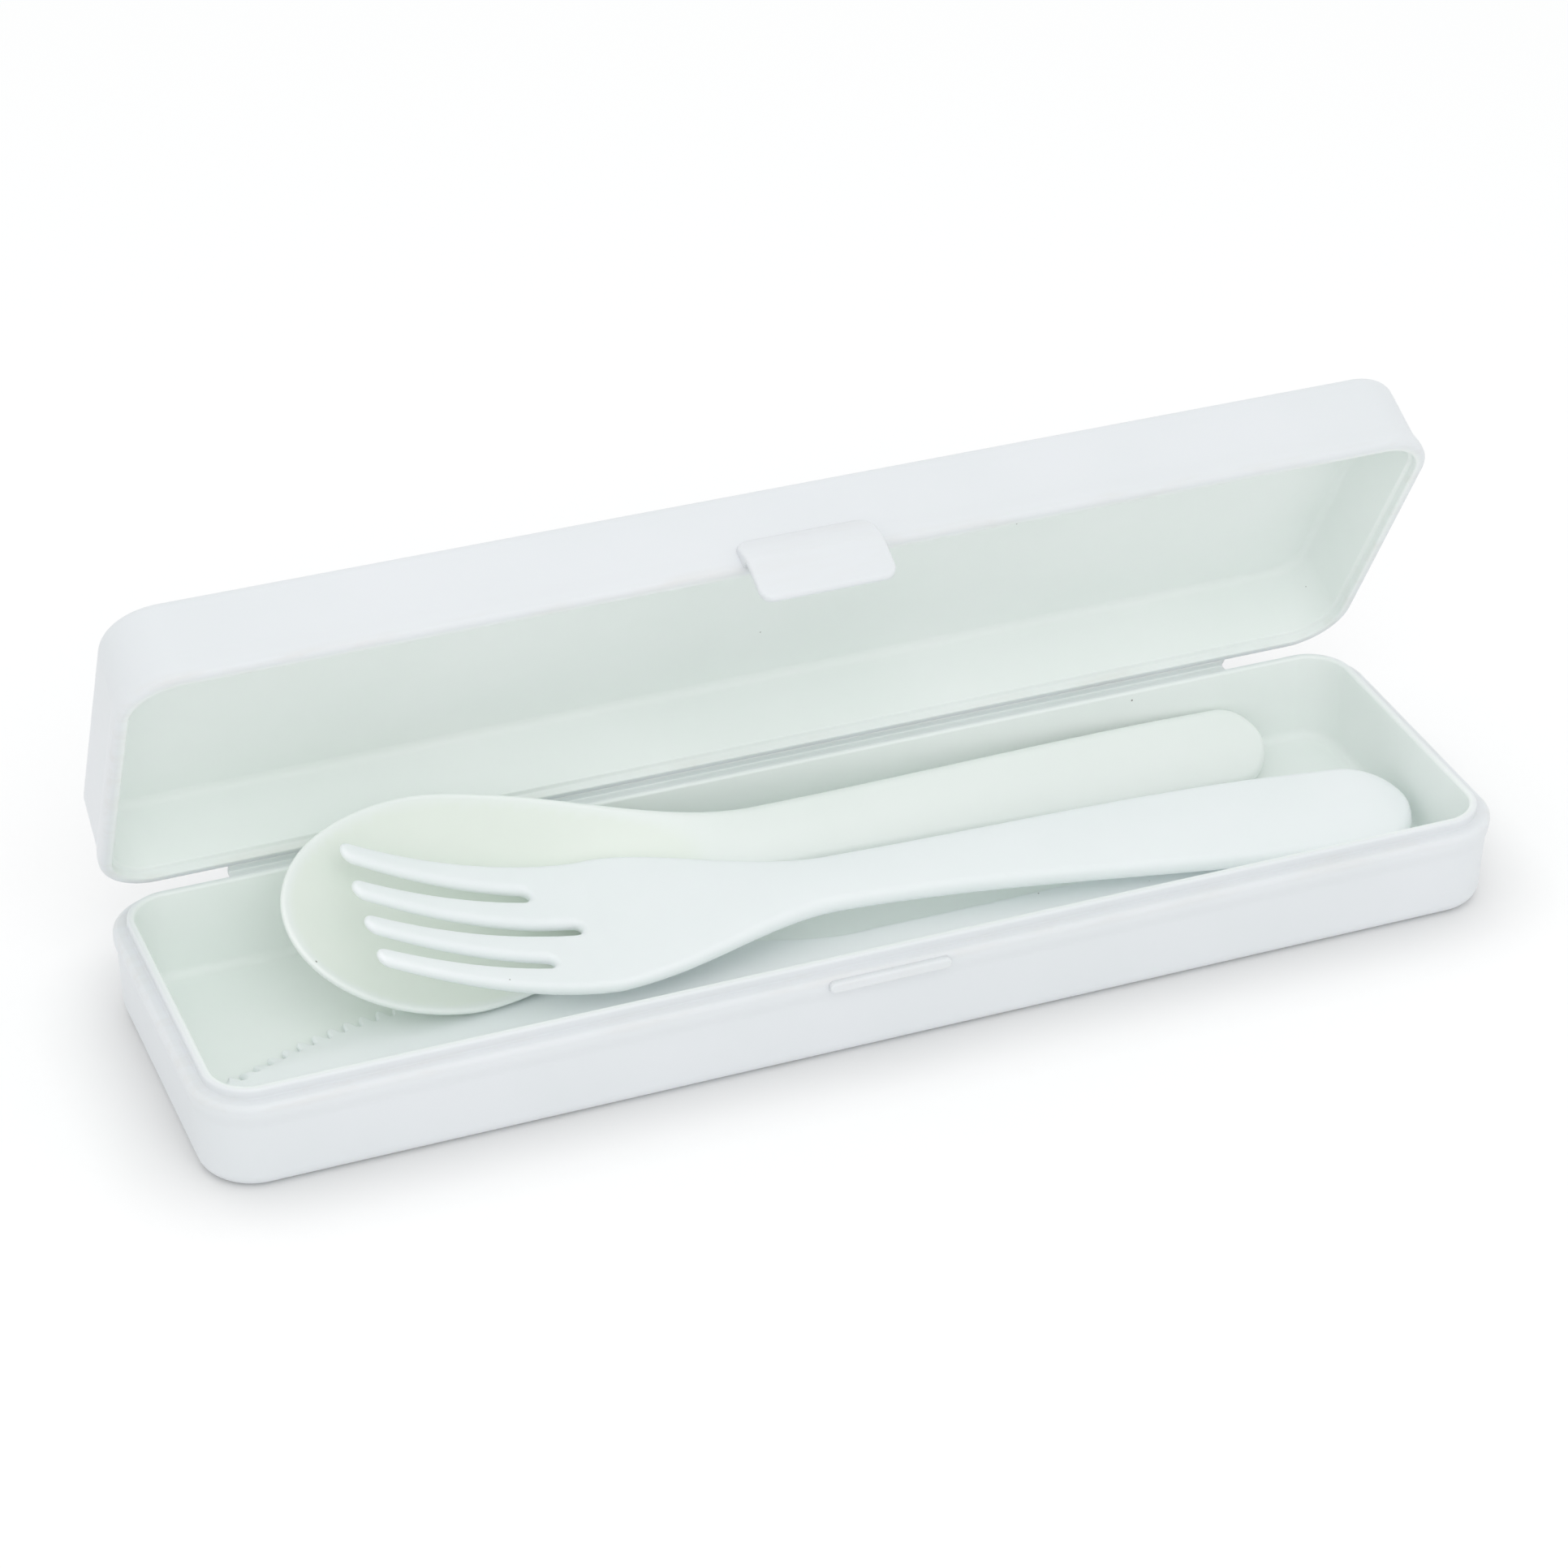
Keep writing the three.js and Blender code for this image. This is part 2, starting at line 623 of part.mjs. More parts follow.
function makeFork() {

	const rootAt = TINE_LENGTH - forkLength;
	const tines = Array.from( { length: TINE_COUNT }, ( _, i ) => tine( i ) );
	const neckAt = NECK_FROM_TIP - forkLength;
	const headEnd = HEAD_LENGTH - forkLength;
	const stations = [
		...span( rootAt, headEnd, 5 ),
		...span( headEnd, neckAt, 12 ),
		...span( neckAt, - FORK_END / 2, 6 ),
		...span( - FORK_END / 2, 0, 6, 'end' ),
		0,
	];
	let solid = toSolid( loft( fork, stations, 6 ) );

	for ( const form of tines ) {

		const tipAt = TINE_TIP / 2 - forkLength;
		const along = [ ...span( - forkLength, tipAt, 4, 'start' ), ...span( tipAt, rootAt, 9 ), rootAt, rootAt + 2 ];
		solid = solid.add( toSolid( loft( form, along, 2 ) ) );

	}

	// Round roots of the slots, the middle ones the deepest
	for ( let i = 1; i < TINE_COUNT; i ++ ) {

		const low = tines[ i - 1 ].sides( rootAt )[ 1 ];
		const high = tines[ i ].sides( rootAt )[ 0 ];
		const centre = ( low + high ) / 2;
		const radius = ( high - low ) / 2;
		const outermost = i === 1 || i === TINE_COUNT - 1;
		const root = rootAt + ( outermost ? 0 : MIDDLE_SLOT );
		const slot = new THREE.Shape();
		slot.moveTo( rootAt - 1, centre - radius );
		slot.lineTo( root, centre - radius );
		slot.absarc( root, centre, radius, - Math.PI / 2, Math.PI / 2 );
		slot.lineTo( rootAt - 1, centre + radius );
		const cutter = prism( slot, 4 * HEAD_THICKNESS, X, Y );
		cutter.translate( 0, 0, fork.height( rootAt, centre ) - 2 * HEAD_THICKNESS );
		solid = solid.subtract( toSolid( cutter ) );

	}

	return toGeometry( solid );

}

// Resting places: a piece comes down on what lies under it, or up to a wall, and stops short of it. A long
// piece tips until its head and its handle both rest.
function restingPoints( form, from, to ) {

	const stations = Array.from( { length: 119 }, ( _, i ) => THREE.MathUtils.lerp( from, to, ( i + 1 ) / 120 ) );
	return stations.flatMap( ( x ) => section( form, x, 12 ) );

}

// Height at which the points of a turned piece clear what lies under them. `rise` says by how much one
// point has to go up.
function restingHeight( points, group, rise ) {

	let height = 0;

	for ( let round = 0; round < 12; round ++ ) {

		const rises = points.map( ( point ) => {

			const world = point.clone().applyMatrix4( group.matrix );
			world.z += height;
			return rise( world );

		} );
		height += Math.max( ...rises );

	}

	return height;

}

function lay( points, parting, turned, rise ) {

	const head = points.filter( ( point ) => point.x < parting );
	const handle = points.filter( ( point ) => point.x >= parting );
	let low = - 8;
	let high = 12;

	for ( let round = 0; round < 16; round ++ ) {

		const pitch = ( low + high ) / 2;
		const group = turned( pitch );

		if ( restingHeight( head, group, rise ) > restingHeight( handle, group, rise ) ) low = pitch;
		else high = pitch;

	}

	const group = turned( ( low + high ) / 2 );
	group.position.z = restingHeight( points, group, rise );
	group.updateMatrix();
	return group;

}

function placed( x, y, tilt, pitch, yaw ) {

	const group = new THREE.Group();
	group.position.set( x, y, 0 );
	group.rotation.set( deg( tilt ), deg( pitch ), deg( yaw ), 'ZYX' );
	group.updateMatrix();
	return group;

}

// How far a piece reaches to the back as it is turned
function backReach( points, group ) {

	return Math.max( ...points.map( ( point ) => point.clone().applyMatrix4( group.matrix ).y ) );

}

function named( name, geometry, color, roughness ) {

	const material = new THREE.MeshStandardMaterial( { color, roughness, metalness: 0 } );
	const mesh = new THREE.Mesh( geometry, material );
	mesh.name = name;
	geometry.computeVertexNormals();
	return mesh;

}

const CASE_WHITE = '#f2f5f8';
const CUTLERY_WHITE = '#eff6ee';

// Knife flat on the floor
const knifeGroup = new THREE.Group();
knifeGroup.position.set( KNIFE_TIP_ROOM - insideLength / 2, KNIFE_FRONT_ROOM - insideWidth / 2, knifeFloor );
knifeGroup.rotation.z = deg( KNIFE_YAW );
knifeGroup.updateMatrix();
knifeGroup.add( named( 'knife', makeKnife(), CUTLERY_WHITE, 0.45 ) );
const toKnife = knifeGroup.matrix.clone().invert();

function floorUnder( point ) {

	const local = point.clone().applyMatrix4( toKnife );
	const inside = local.x > - PART_GAP && local.x < knifeLength + PART_GAP;
	const [ low, high ] = inside ? knife.sides( THREE.MathUtils.clamp( local.x, 0, knifeLength ) ) : [ 0, 0 ];
	const over = inside && local.y > low - PART_GAP && local.y < high + PART_GAP;
	return over ? knifeFloor + knife.thickness( local.x, local.y ) : FLOOR_THICKNESS;

}

function riseFromFloor( point ) {

	return floorUnder( point ) + PART_GAP - point.z;

}

// Spoon leaning on the back wall, its bowl on the blade and its handle's end on the floor
const spoonX = SPOON_TIP_ROOM + BOWL_LENGTH / 2 - insideLength / 2;
const spoonPoints = restingPoints( spoon, - BOWL_LENGTH / 2, spoonLength - BOWL_LENGTH / 2 );
const bowlReach = bowlHalf * Math.cos( deg( SPOON_TILT ) ) + BOWL_WALL / 2;
const bowlY = halfWidth - lipInset - SPOON_BACK_ROOM - bowlReach;

function turnedSpoon( pitch ) {

	const group = placed( spoonX, 0, SPOON_TILT, pitch, SPOON_YAW );
	group.position.y = Math.min( bowlY, insideWidth / 2 - SPOON_BACK_ROOM - backReach( spoonPoints, group ) );
	group.updateMatrix();
	return group;

}

const spoonGroup = lay( spoonPoints, spoonLength / 2 - BOWL_LENGTH / 2, turnedSpoon, riseFromFloor );
const toSpoon = spoonGroup.matrix.clone().invert();
const spoonUp = new THREE.Vector3( 0, 0, 1 ).transformDirection( spoonGroup.matrix );
spoonGroup.add( named( 'spoon', makeSpoon(), CUTLERY_WHITE, 0.45 ) );

function riseFromSpoon( point ) {

	const local = point.clone().applyMatrix4( toSpoon );
	const over = Math.abs( local.y ) < spoon.half( local.x ) + PART_GAP && local.x > - BOWL_LENGTH / 2;
	const top = spoon.height( local.x, local.y ) + spoon.thickness( local.x ) / 2;
	return over ? ( top + PART_GAP - local.z ) / spoonUp.z : - Infinity;

}

// Fork with its head on the spoon and its handle on the knife's
const forkX = insideLength / 2 - FORK_END_ROOM;
const forkY = FORK_FRONT_ROOM - insideWidth / 2;
const forkPoints = restingPoints( fork, - forkLength, 0 );
const turnedFork = ( pitch ) => placed( forkX, forkY, FORK_TILT, pitch, FORK_YAW );
const riseOfFork = ( point ) => Math.max( riseFromFloor( point ), riseFromSpoon( point ) );
const forkGroup = lay( forkPoints, - forkLength / 2, turnedFork, riseOfFork );
forkGroup.add( named( 'fork', makeFork(), CUTLERY_WHITE, 0.45 ) );

// Lid, turned about the hinge line from closed
const lidGroup = new THREE.Group();
lidGroup.position.set( 0, hingeY, hingeZ );
lidGroup.rotation.x = - deg( LID_OPEN );
const lid = named( 'case_lid', makeLid(), CASE_WHITE, 0.5 );
lid.position.set( 0, - hingeY, - hingeZ );
lidGroup.add( lid );

const pack = new THREE.Group();
pack.add( named( 'case_base', makeBase(), CASE_WHITE, 0.5 ), lidGroup, knifeGroup, spoonGroup, forkGroup );

export default pack;
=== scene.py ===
# %% [markdown]
# # A plastic cutlery pack
# The object is a shallow white case, moulded in one piece with its lid, and a fork, a spoon and a knife lie
# in it. The drawing of the part gives us a fixed frame: boxes, bodies and one hinge. We load it first, keep
# its size, and then build better looking pieces in the places that it gives.

# %% Load the frame
import math

import bmesh
import bpy
import numpy as np
from mathutils import Euler, Matrix, Vector
from mathutils.geometry import delaunay_2d_cdt


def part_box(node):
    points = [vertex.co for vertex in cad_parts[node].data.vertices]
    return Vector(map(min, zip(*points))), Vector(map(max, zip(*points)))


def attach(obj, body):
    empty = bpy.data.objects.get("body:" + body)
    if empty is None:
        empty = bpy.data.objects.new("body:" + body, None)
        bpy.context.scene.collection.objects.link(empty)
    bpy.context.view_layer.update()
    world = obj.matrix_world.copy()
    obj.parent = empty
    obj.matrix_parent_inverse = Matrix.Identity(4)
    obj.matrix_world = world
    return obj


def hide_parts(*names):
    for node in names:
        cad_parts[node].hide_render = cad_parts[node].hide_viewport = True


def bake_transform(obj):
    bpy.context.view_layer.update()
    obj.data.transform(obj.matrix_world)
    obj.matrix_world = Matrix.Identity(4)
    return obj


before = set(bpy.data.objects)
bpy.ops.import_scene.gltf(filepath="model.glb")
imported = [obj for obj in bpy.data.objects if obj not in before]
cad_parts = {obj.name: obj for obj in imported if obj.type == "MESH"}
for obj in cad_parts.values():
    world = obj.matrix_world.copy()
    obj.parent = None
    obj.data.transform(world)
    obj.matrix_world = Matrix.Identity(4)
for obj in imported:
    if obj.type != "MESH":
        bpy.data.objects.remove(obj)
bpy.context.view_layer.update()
MM = 0.001

# %% [markdown]
# ## Camera
# The picture was taken from the front, a little to the left and well above the case. The numbers below were
# fitted to the straight edges of the case. We write the camera's own axes as the columns of its matrix, which
# is surer than a chain of angles.

# %% Camera
PICTURE_SIDE = 1932
FOCAL_PIXELS = 5667.66
SENSOR = 36.0
AZIMUTH, ELEVATION, ROLL = np.radians([-21.978, 32.543, 0.392])
CAMERA_DISTANCE = 679.09
AIM_ACROSS, AIM_UP = -4.527, 23.854

back = np.array([
    math.sin(AZIMUTH) * math.cos(ELEVATION),
    -math.cos(AZIMUTH) * math.cos(ELEVATION),
    math.sin(ELEVATION),
])
level = np.array([math.cos(AZIMUTH), math.sin(AZIMUTH), 0.0])
upright = np.cross(back, level)
right = math.cos(ROLL) * level + math.sin(ROLL) * upright
up = math.cos(ROLL) * upright - math.sin(ROLL) * level
place = (back * CAMERA_DISTANCE + right * AIM_ACROSS + up * AIM_UP) * MM

camera_data = bpy.data.cameras.new("camera")
camera_data.sensor_width = SENSOR
camera_data.sensor_fit = "HORIZONTAL"
camera_data.lens = FOCAL_PIXELS * SENSOR / PICTURE_SIDE
camera_data.clip_start = 0.01
camera = bpy.data.objects.new("camera", camera_data)
bpy.context.collection.objects.link(camera)
axes = np.column_stack([right, up, back, place])
camera.matrix_world = Matrix([[*row] for row in axes] + [[0, 0, 0, 1]])
bpy.context.scene.camera = camera
print("lens", round(camera_data.lens, 2), "mm, camera at", np.round(place, 3))

# %% [markdown]
# ## Shader sums
# Node graphs read well when they are written as sums. This small class holds one output of a node. Adding or
# multiplying two of them makes the Math node, and `node` makes any other node: settings first, then the
# values or links of its sockets.

# %% A socket that can be used in sums


class Value:

    def __init__(self, tree, socket=None):
        self.tree = tree
        self.socket = socket

    def node(self, kind, settings=None, inputs=None, output=0):
        made = self.tree.nodes.new("ShaderNode" + kind)
        for name, setting in (settings or {}).items():
            setattr(made, name, setting)
        for name, value in (inputs or {}).items():
            if isinstance(value, Value):
                self.tree.links.new(value.socket, made.inputs[name])
            else:
                made.inputs[name].default_value = value
        return Value(self.tree, made.outputs[output] if made.outputs else None)

    def other(self, output):
        return Value(self.tree, self.socket.node.outputs[output])

    def math(self, operation, first, second=0.0):
        return self.node("Math", {"operation": operation}, {0: first, 1: second})

    def __add__(self, other):
        return self.math("ADD", self, other)

    def __radd__(self, other):
        return self.math("ADD", other, self)

    def __sub__(self, other):
        return self.math("SUBTRACT", self, other)

    def __rsub__(self, other):
        return self.math("SUBTRACT", other, self)

    def __mul__(self, other):
        return self.math("MULTIPLY", self, other)

    def __rmul__(self, other):
        return self.math("MULTIPLY", other, self)

    def __truediv__(self, other):
        return self.math("DIVIDE", self, other)

    def __rtruediv__(self, other):
        return self.math("DIVIDE", other, self)

    def __gt__(self, other):
        return self.math("GREATER_THAN", self, other)

    def fade(self, low, high):
        settings = {"interpolation_type": "SMOOTHSTEP"}
        return self.node("MapRange", settings, {0: self, 1: low, 2: high})

    def stretch(self, factors):
        return self.node("VectorMath", {"operation": "MULTIPLY"}, {0: self, 1: factors})

    def times(self, other):
        settings = {"data_type": "RGBA", "blend_type": "MULTIPLY"}
        return self.node("Mix", settings, {0: 1.0, 6: self, 7: other}, output=2)

    def tint(self, first, second):
        return self.node("Mix", {"data_type": "RGBA"}, {0: self, 6: first, 7: second}, output=2)


def noise(where, size, detail=2.0, roughness=0.5):
    inputs = {"Vector": where, "Scale": 1 / (size * MM), "Detail": detail, "Roughness": roughness}
    return where.node("TexNoise", {}, inputs)


def colour(text):
    parts = [int(text[i:i + 2], 16) / 255 for i in (1, 3, 5)]
    return [c / 12.92 if c <= 0.04045 else ((c + 0.055) / 1.055) ** 2.4 for c in parts] + [1.0]


def grey(shade):
    return (shade, shade, shade, 1)


print("shader sums ready, mid grey is", np.round(colour("#808080")[:3], 3))

# %% [markdown]
# ## Satin plastic
# Both finishes are polypropylene straight from the mould: satin, a little milky, and hardly coloured. What
# makes it look real is small. The tone drifts over centimetres, dark specks from the melt sit under the skin,
# the rims are rubbed, and the skin has a fine grain. A Voronoi texture gives the specks: a few of its cells
# are chosen, and each one gets a dot of its own size. All of it is read from the piece's own coordinates, so
# that nothing slides when the lid moves. Two marks on the points steer it. The first mixes in a second colour
# that is painted light and shade: on the case a paler, greener inside stands in for light that comes through
# the walls and bounces inside, and on the cutlery a darker, greener tone is painted shade. `exposed` marks
# what gets rubbed.

# %% Plastic
DRIFT_SIZE, FLOW_SIZE, GRAIN_SIZE, RUB_SIZE = 24, 2.2, 0.22, 3.0
FLOW_STRETCH, RUB_STRETCH = (0.12, 1.0, 1.0), (0.25, 1.0, 1.0)
DRIFT_TONE, SPECK_TONE = [0.972, 0.980, 0.975, 1], colour("#5d564e")
RUB_STRENGTH, SPECK_STRENGTH = 0.16, 0.8
SPECK_SPACING, SPECK_SHARE, SPECK_LARGEST = 4.2, 0.08, 0.2


def flecks(where, spacing, share, largest):
    inputs = {"Vector": where, "Scale": 1 / (spacing * MM)}
    cell = where.node("TexVoronoi", {"feature": "F1"}, inputs, output=1)
    parts = cell.node("SeparateColor", {}, {0: cell})
    chosen = parts > 1 - share
    reach = parts.other(1) * (largest / spacing) + 0.2 * largest / spacing
    return chosen * (1 - (cell.other(0) / reach).fade(0.5, 1.0))


def satin_plastic(name, outside, painted_inner_colour, rubbed, gloss):
    material = bpy.data.materials.new(name)
    material.use_nodes = True
    tree = material.node_tree
    tree.nodes.clear()
    maker = Value(tree)
    where = maker.node("TexCoord", output=3)
    painted_inner_light_shade = maker.node("Attribute", {"attribute_name": "painted_inner_light_shade"}, output=2)
    exposed = maker.node("Attribute", {"attribute_name": "exposed"}, output=2)

    drift = noise(where, DRIFT_SIZE, 3.0)
    flow = noise(where.stretch(FLOW_STRETCH), FLOW_SIZE, 4.0, 0.6)
    grain = noise(where, GRAIN_SIZE, 2.0)
    rub = exposed * noise(where.stretch(RUB_STRETCH), RUB_SIZE, 5.0, 0.65).fade(0.42, 0.70)
    fleck = flecks(where, SPECK_SPACING, SPECK_SHARE, SPECK_LARGEST)

    # painted light and shade: the first mark mixes the second colour into the plastic's own colour
    body = painted_inner_light_shade.tint(outside, painted_inner_colour)
    toned = body.times(drift.fade(0.25, 0.75).tint(grey(1), DRIFT_TONE))
    worn = (rub * RUB_STRENGTH).tint(toned, rubbed)
    speckled = (fleck * SPECK_STRENGTH).tint(worn, SPECK_TONE)

    height = grain * 0.35 + flow * 0.4 + drift * 2.0
    bump = maker.node("Bump", {}, {"Strength": 0.22, "Distance": 0.05 * MM, "Height": height})
    shader = maker.node("BsdfPrincipled", {}, {
        "Base Color": speckled,
        "Roughness": gloss + flow * 0.12 + rub * 0.10 - 0.06,
        "Normal": bump,
        "IOR": 1.49,
        "Specular IOR Level": 0.45,
        "Subsurface Weight": 0.12,
        "Subsurface Radius": (0.9, 1.0, 0.9),
        "Subsurface Scale": 1.0 * MM,
    })
    maker.node("OutputMaterial", {}, {"Surface": shader})
    print(name, len(tree.nodes), "nodes")
    return material


# The second colour is painted light on the case (paler, greener inside) and painted shade on the cutlery
# (darker, greener)
CASE_PLASTIC = satin_plastic(
    "case_plastic", colour("#e2e5e8"), colour("#f3f7f5"), colour("#cfc6b8"), 0.42)
CUTLERY_PLASTIC = satin_plastic(
    "cutlery_plastic", colour("#f3f6f8"), colour("#eef3ec"), colour("#e0ddd2"), 0.36)

# %% [markdown]
# ## From points to a piece
# Every piece ends the same way: its points in millimetres become a mesh in metres, its faces are turned
# outwards, it is shaded smooth, and it is told which body carries it. The weighted normals keep the big flat
# walls flat where a small rounding meets them. `skin` joins a row of rings into a closed form.

# %% Making a piece


def put_piece(name, points, faces, material, body=None, node=None, marks=None, weighted=True):
    mesh = bpy.data.meshes.new(name)
    mesh.from_pydata((np.asarray(points) * MM).tolist(), [], [list(face) for face in faces])
    sculpt = bmesh.new()
    sculpt.from_mesh(mesh)
    bmesh.ops.recalc_face_normals(sculpt, faces=sculpt.faces)
    sculpt.to_mesh(mesh)
    sculpt.free()
    mesh.shade_smooth()
    mesh.materials.append(material)
    for mark, values in (marks or {}).items():
        layer = mesh.attributes.new(mark, "FLOAT", "POINT")
        layer.data.foreach_set("value", np.asarray(values, np.float32))
    made = bpy.data.objects.new(name, mesh)
    bpy.context.collection.objects.link(made)
    if weighted:
        modifier = made.modifiers.new("weighted", "WEIGHTED_NORMAL")
        modifier.weight = 100
        modifier.keep_sharp = True
    if body:
        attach(made, body)
    if node:
        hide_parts(node)
    print(name, len(mesh.vertices), "points", len(mesh.polygons), "faces")
    return made


def skin(rings):
    count = len(rings[0])
    faces = []
    for k in range(len(rings) - 1):
        low, high = k * count, (k + 1) * count
        for i in range(count):
            j = (i + 1) % count
            faces.append((low + i, low + j, high + j, high + i))
    faces.append(tuple(reversed(range(count))))
    faces.append(tuple(range((len(rings) - 1) * count, len(rings) * count)))
    return np.concatenate(rings), faces


print("piece maker ready")

# %% [markdown]
# ## The two shells
# Base and lid are thin trays that meet at their rims. Their walls lean a little, so that they leave the mould.
# The sizes are in millimetres, and the hinge line lies just behind the back wall, level with the parting.

# %% Sizes of the case
CASE_LENGTH, CASE_WIDTH = 200.0, 55.9
BASE_HEIGHT, LID_HEIGHT = 14.4, 13.8
CORNER_RADIUS, EDGE_RADIUS = 8.9, 2.4
FLOOR_THICKNESS, TOP_THICKNESS = 1.5, 1.4
LEDGE_WIDTH, LIP_THICKNESS, LIP_HEIGHT, LIP_ROUNDING = 2.1, 1.2, 1.5, 0.4
LID_WALL, INNER_FILLET = 2.4, 1.5
BAND_HEIGHT, BAND_PROUD, RIM_ROUNDING = 2.6, 0.3, 0.9
PART_GAP = 0.3
HINGE_REACH = 0.85
LID_OPEN = math.radians(62)
OUTER_LEAN, INNER_LEAN = math.tan(math.radians(2)), math.tan(math.radians(1))

half_length, half_width = CASE_LENGTH / 2, CASE_WIDTH / 2
lip_inset = LEDGE_WIDTH + LIP_THICKNESS
lip_top = BASE_HEIGHT + LIP_HEIGHT
lid_rim = BASE_HEIGHT + PART_GAP
hinge_y = half_width + HINGE_REACH
hinge_z = BASE_HEIGHT + PART_GAP / 2
print("hinge line", round(hinge_y, 3), round(hinge_z, 3))

# %% [markdown]
# ### A profile carried round
# Both shells are one wall profile carried round a rounded rectangle, as the mould was cut. The profile is a
# list of (inset, height) pairs. A raised band runs along both rims and fades into the wall. `soften` puts a
# small rounding on every corner of the profile, because no moulded edge is truly sharp.

# %% Profiles carried round the case
CORNER_STEPS, LONG_STEPS, SHORT_STEPS = 20, 16, 5
BAND_STEPS, BAND_FADE_OUT, BAND_FADE_IN = 11, 1.4, 1.2
SOFT_EDGE = 0.3


def arc(inset, height, radius, start, stop, steps):
    turn = np.radians(np.linspace(start, stop, steps + 1))
    return np.column_stack([inset - radius * np.cos(turn), height + radius * np.sin(turn)])


def soften(profile, radius, steps=3, least=20):
    soft = [profile[0]]
    for before, corner, after in zip(profile, profile[1:], profile[2:]):
        arrive, leave = corner - before, after - corner
        long_in, long_out = np.hypot(*arrive), np.hypot(*leave)
        bend = math.degrees(math.acos(np.clip(arrive @ leave / (long_in * long_out), -1, 1)))
        if bend < least:
            soft.append(corner)
            continue
        cut = min(radius * math.tan(math.radians(bend) / 2), 0.45 * long_in, 0.45 * long_out)
        start, stop = corner - arrive / long_in * cut, corner + leave / long_out * cut
        for t in np.linspace(0, 1, steps + 1):
            soft.append((1 - t) ** 2 * start + 2 * t * (1 - t) * corner + t ** 2 * stop)
    return np.array(soft + [profile[-1]])


def case_ring(inset, height):
    radius = CORNER_RADIUS - inset
    ring = []
    for quarter, (side_x, side_y) in enumerate([(1, 1), (-1, 1), (-1, -1), (1, -1)]):
        turn = (quarter + np.linspace(0, 1, CORNER_STEPS + 1)) * math.pi / 2
        x = side_x * (half_length - CORNER_RADIUS) + radius * np.cos(turn)
        y = side_y * (half_width - CORNER_RADIUS) + radius * np.sin(turn)
        ring.append(np.column_stack([x, y]))
    filled = []
    for quarter in range(4):
        last, first = ring[quarter][-1], ring[(quarter + 1) % 4][0]
        steps = LONG_STEPS if quarter % 2 == 0 else SHORT_STEPS
        between = np.linspace(last, first, steps + 1)[1:-1]
        filled += [ring[quarter], between]
    flat = np.concatenate(filled)
    return np.column_stack([flat, np.full(len(flat), height)])


def case_shell(profile):
    return skin([case_ring(inset, height) for inset, height in profile])


def outside_profile(height):
    def lean(depth):
        return BAND_PROUD + depth * OUTER_LEAN

    edge = lean(height - EDGE_RADIUS) + EDGE_RADIUS
    depth = np.linspace(BAND_HEIGHT + BAND_FADE_OUT, BAND_HEIGHT - BAND_FADE_IN, BAND_STEPS)
    fall = np.linspace(1, 0, BAND_STEPS)
    share = fall ** 2 * (3 - 2 * fall)
    return np.concatenate([
        arc(edge, height - EDGE_RADIUS, EDGE_RADIUS, 90, 0, 10),
        np.column_stack([lean(depth) * share, depth]),
        arc(RIM_ROUNDING, RIM_ROUNDING, RIM_ROUNDING, 0, -90, 8),
    ])


def ring_marks(values):
    return np.repeat(values, len(case_ring(0, 0)))


print("points round the case", len(case_ring(0, 0)))

# %% [markdown]
# ### Base
# The tray that holds the cutlery has a ledge along its rim and a thin guiding lip that stands on it. Its
# inside is painted lighter and faintly green, painted light that stands in for the light that comes through
# the plastic and bounces between the walls. The rim and the bottom edge are marked `exposed`.

# %% Base
outside = outside_profile(BASE_HEIGHT) * [1, -1] + [0, BASE_HEIGHT]
lip_arc = lip_top - LIP_ROUNDING
floor_inset = lip_inset + (lip_top - FLOOR_THICKNESS) * INNER_LEAN
base_profile = soften(np.concatenate([
    outside,
    [[LEDGE_WIDTH, BASE_HEIGHT]],
    arc(LEDGE_WIDTH + LIP_ROUNDING, lip_arc, LIP_ROUNDING, 0, 90, 5),
    arc(lip_inset - LIP_ROUNDING, lip_arc, LIP_ROUNDING, 90, 180, 5),
    arc(floor_inset + INNER_FILLET, FLOOR_THICKNESS + INNER_FILLET, INNER_FILLET, 0, -90, 8),
]), SOFT_EDGE)
base_in = np.clip((base_profile[:, 0] - LEDGE_WIDTH) / LIP_THICKNESS, 0, 1)
base_low = np.arange(len(base_profile)) < len(base_profile) // 2
# painted light: the inside walls and floor get the paler, greener inside colour
base_painted_light = np.where(base_low, 0, base_in)
base_rim = np.clip(1 - np.abs(base_profile[:, 1] - BASE_HEIGHT + 0.3) / 1.2, 0, 1)
base_foot = np.clip(1 - base_profile[:, 1] / 2.0, 0, 1) * base_low
points, faces = case_shell(base_profile)
marks = {
    "painted_inner_light_shade": ring_marks(base_painted_light),
    "exposed": ring_marks(np.maximum(base_rim, base_foot)),
}
put_piece("case_base_shell", points, faces, CASE_PLASTIC, "base", "case_base", marks)

# %% [markdown]
# ### Lid
# The lid has the step that fits over the base's lip. It is drawn closed, where its sizes are easy to think
# about, and then turned open about the hinge line.

# %% Lid


def opened(points):
    moved = np.array(points, float)
    y, z = moved[:, 1] - hinge_y, moved[:, 2] - hinge_z
    moved[:, 1] = hinge_y + y * math.cos(LID_OPEN) + z * math.sin(LID_OPEN)
    moved[:, 2] = hinge_z - y * math.sin(LID_OPEN) + z * math.cos(LID_OPEN)
    return moved


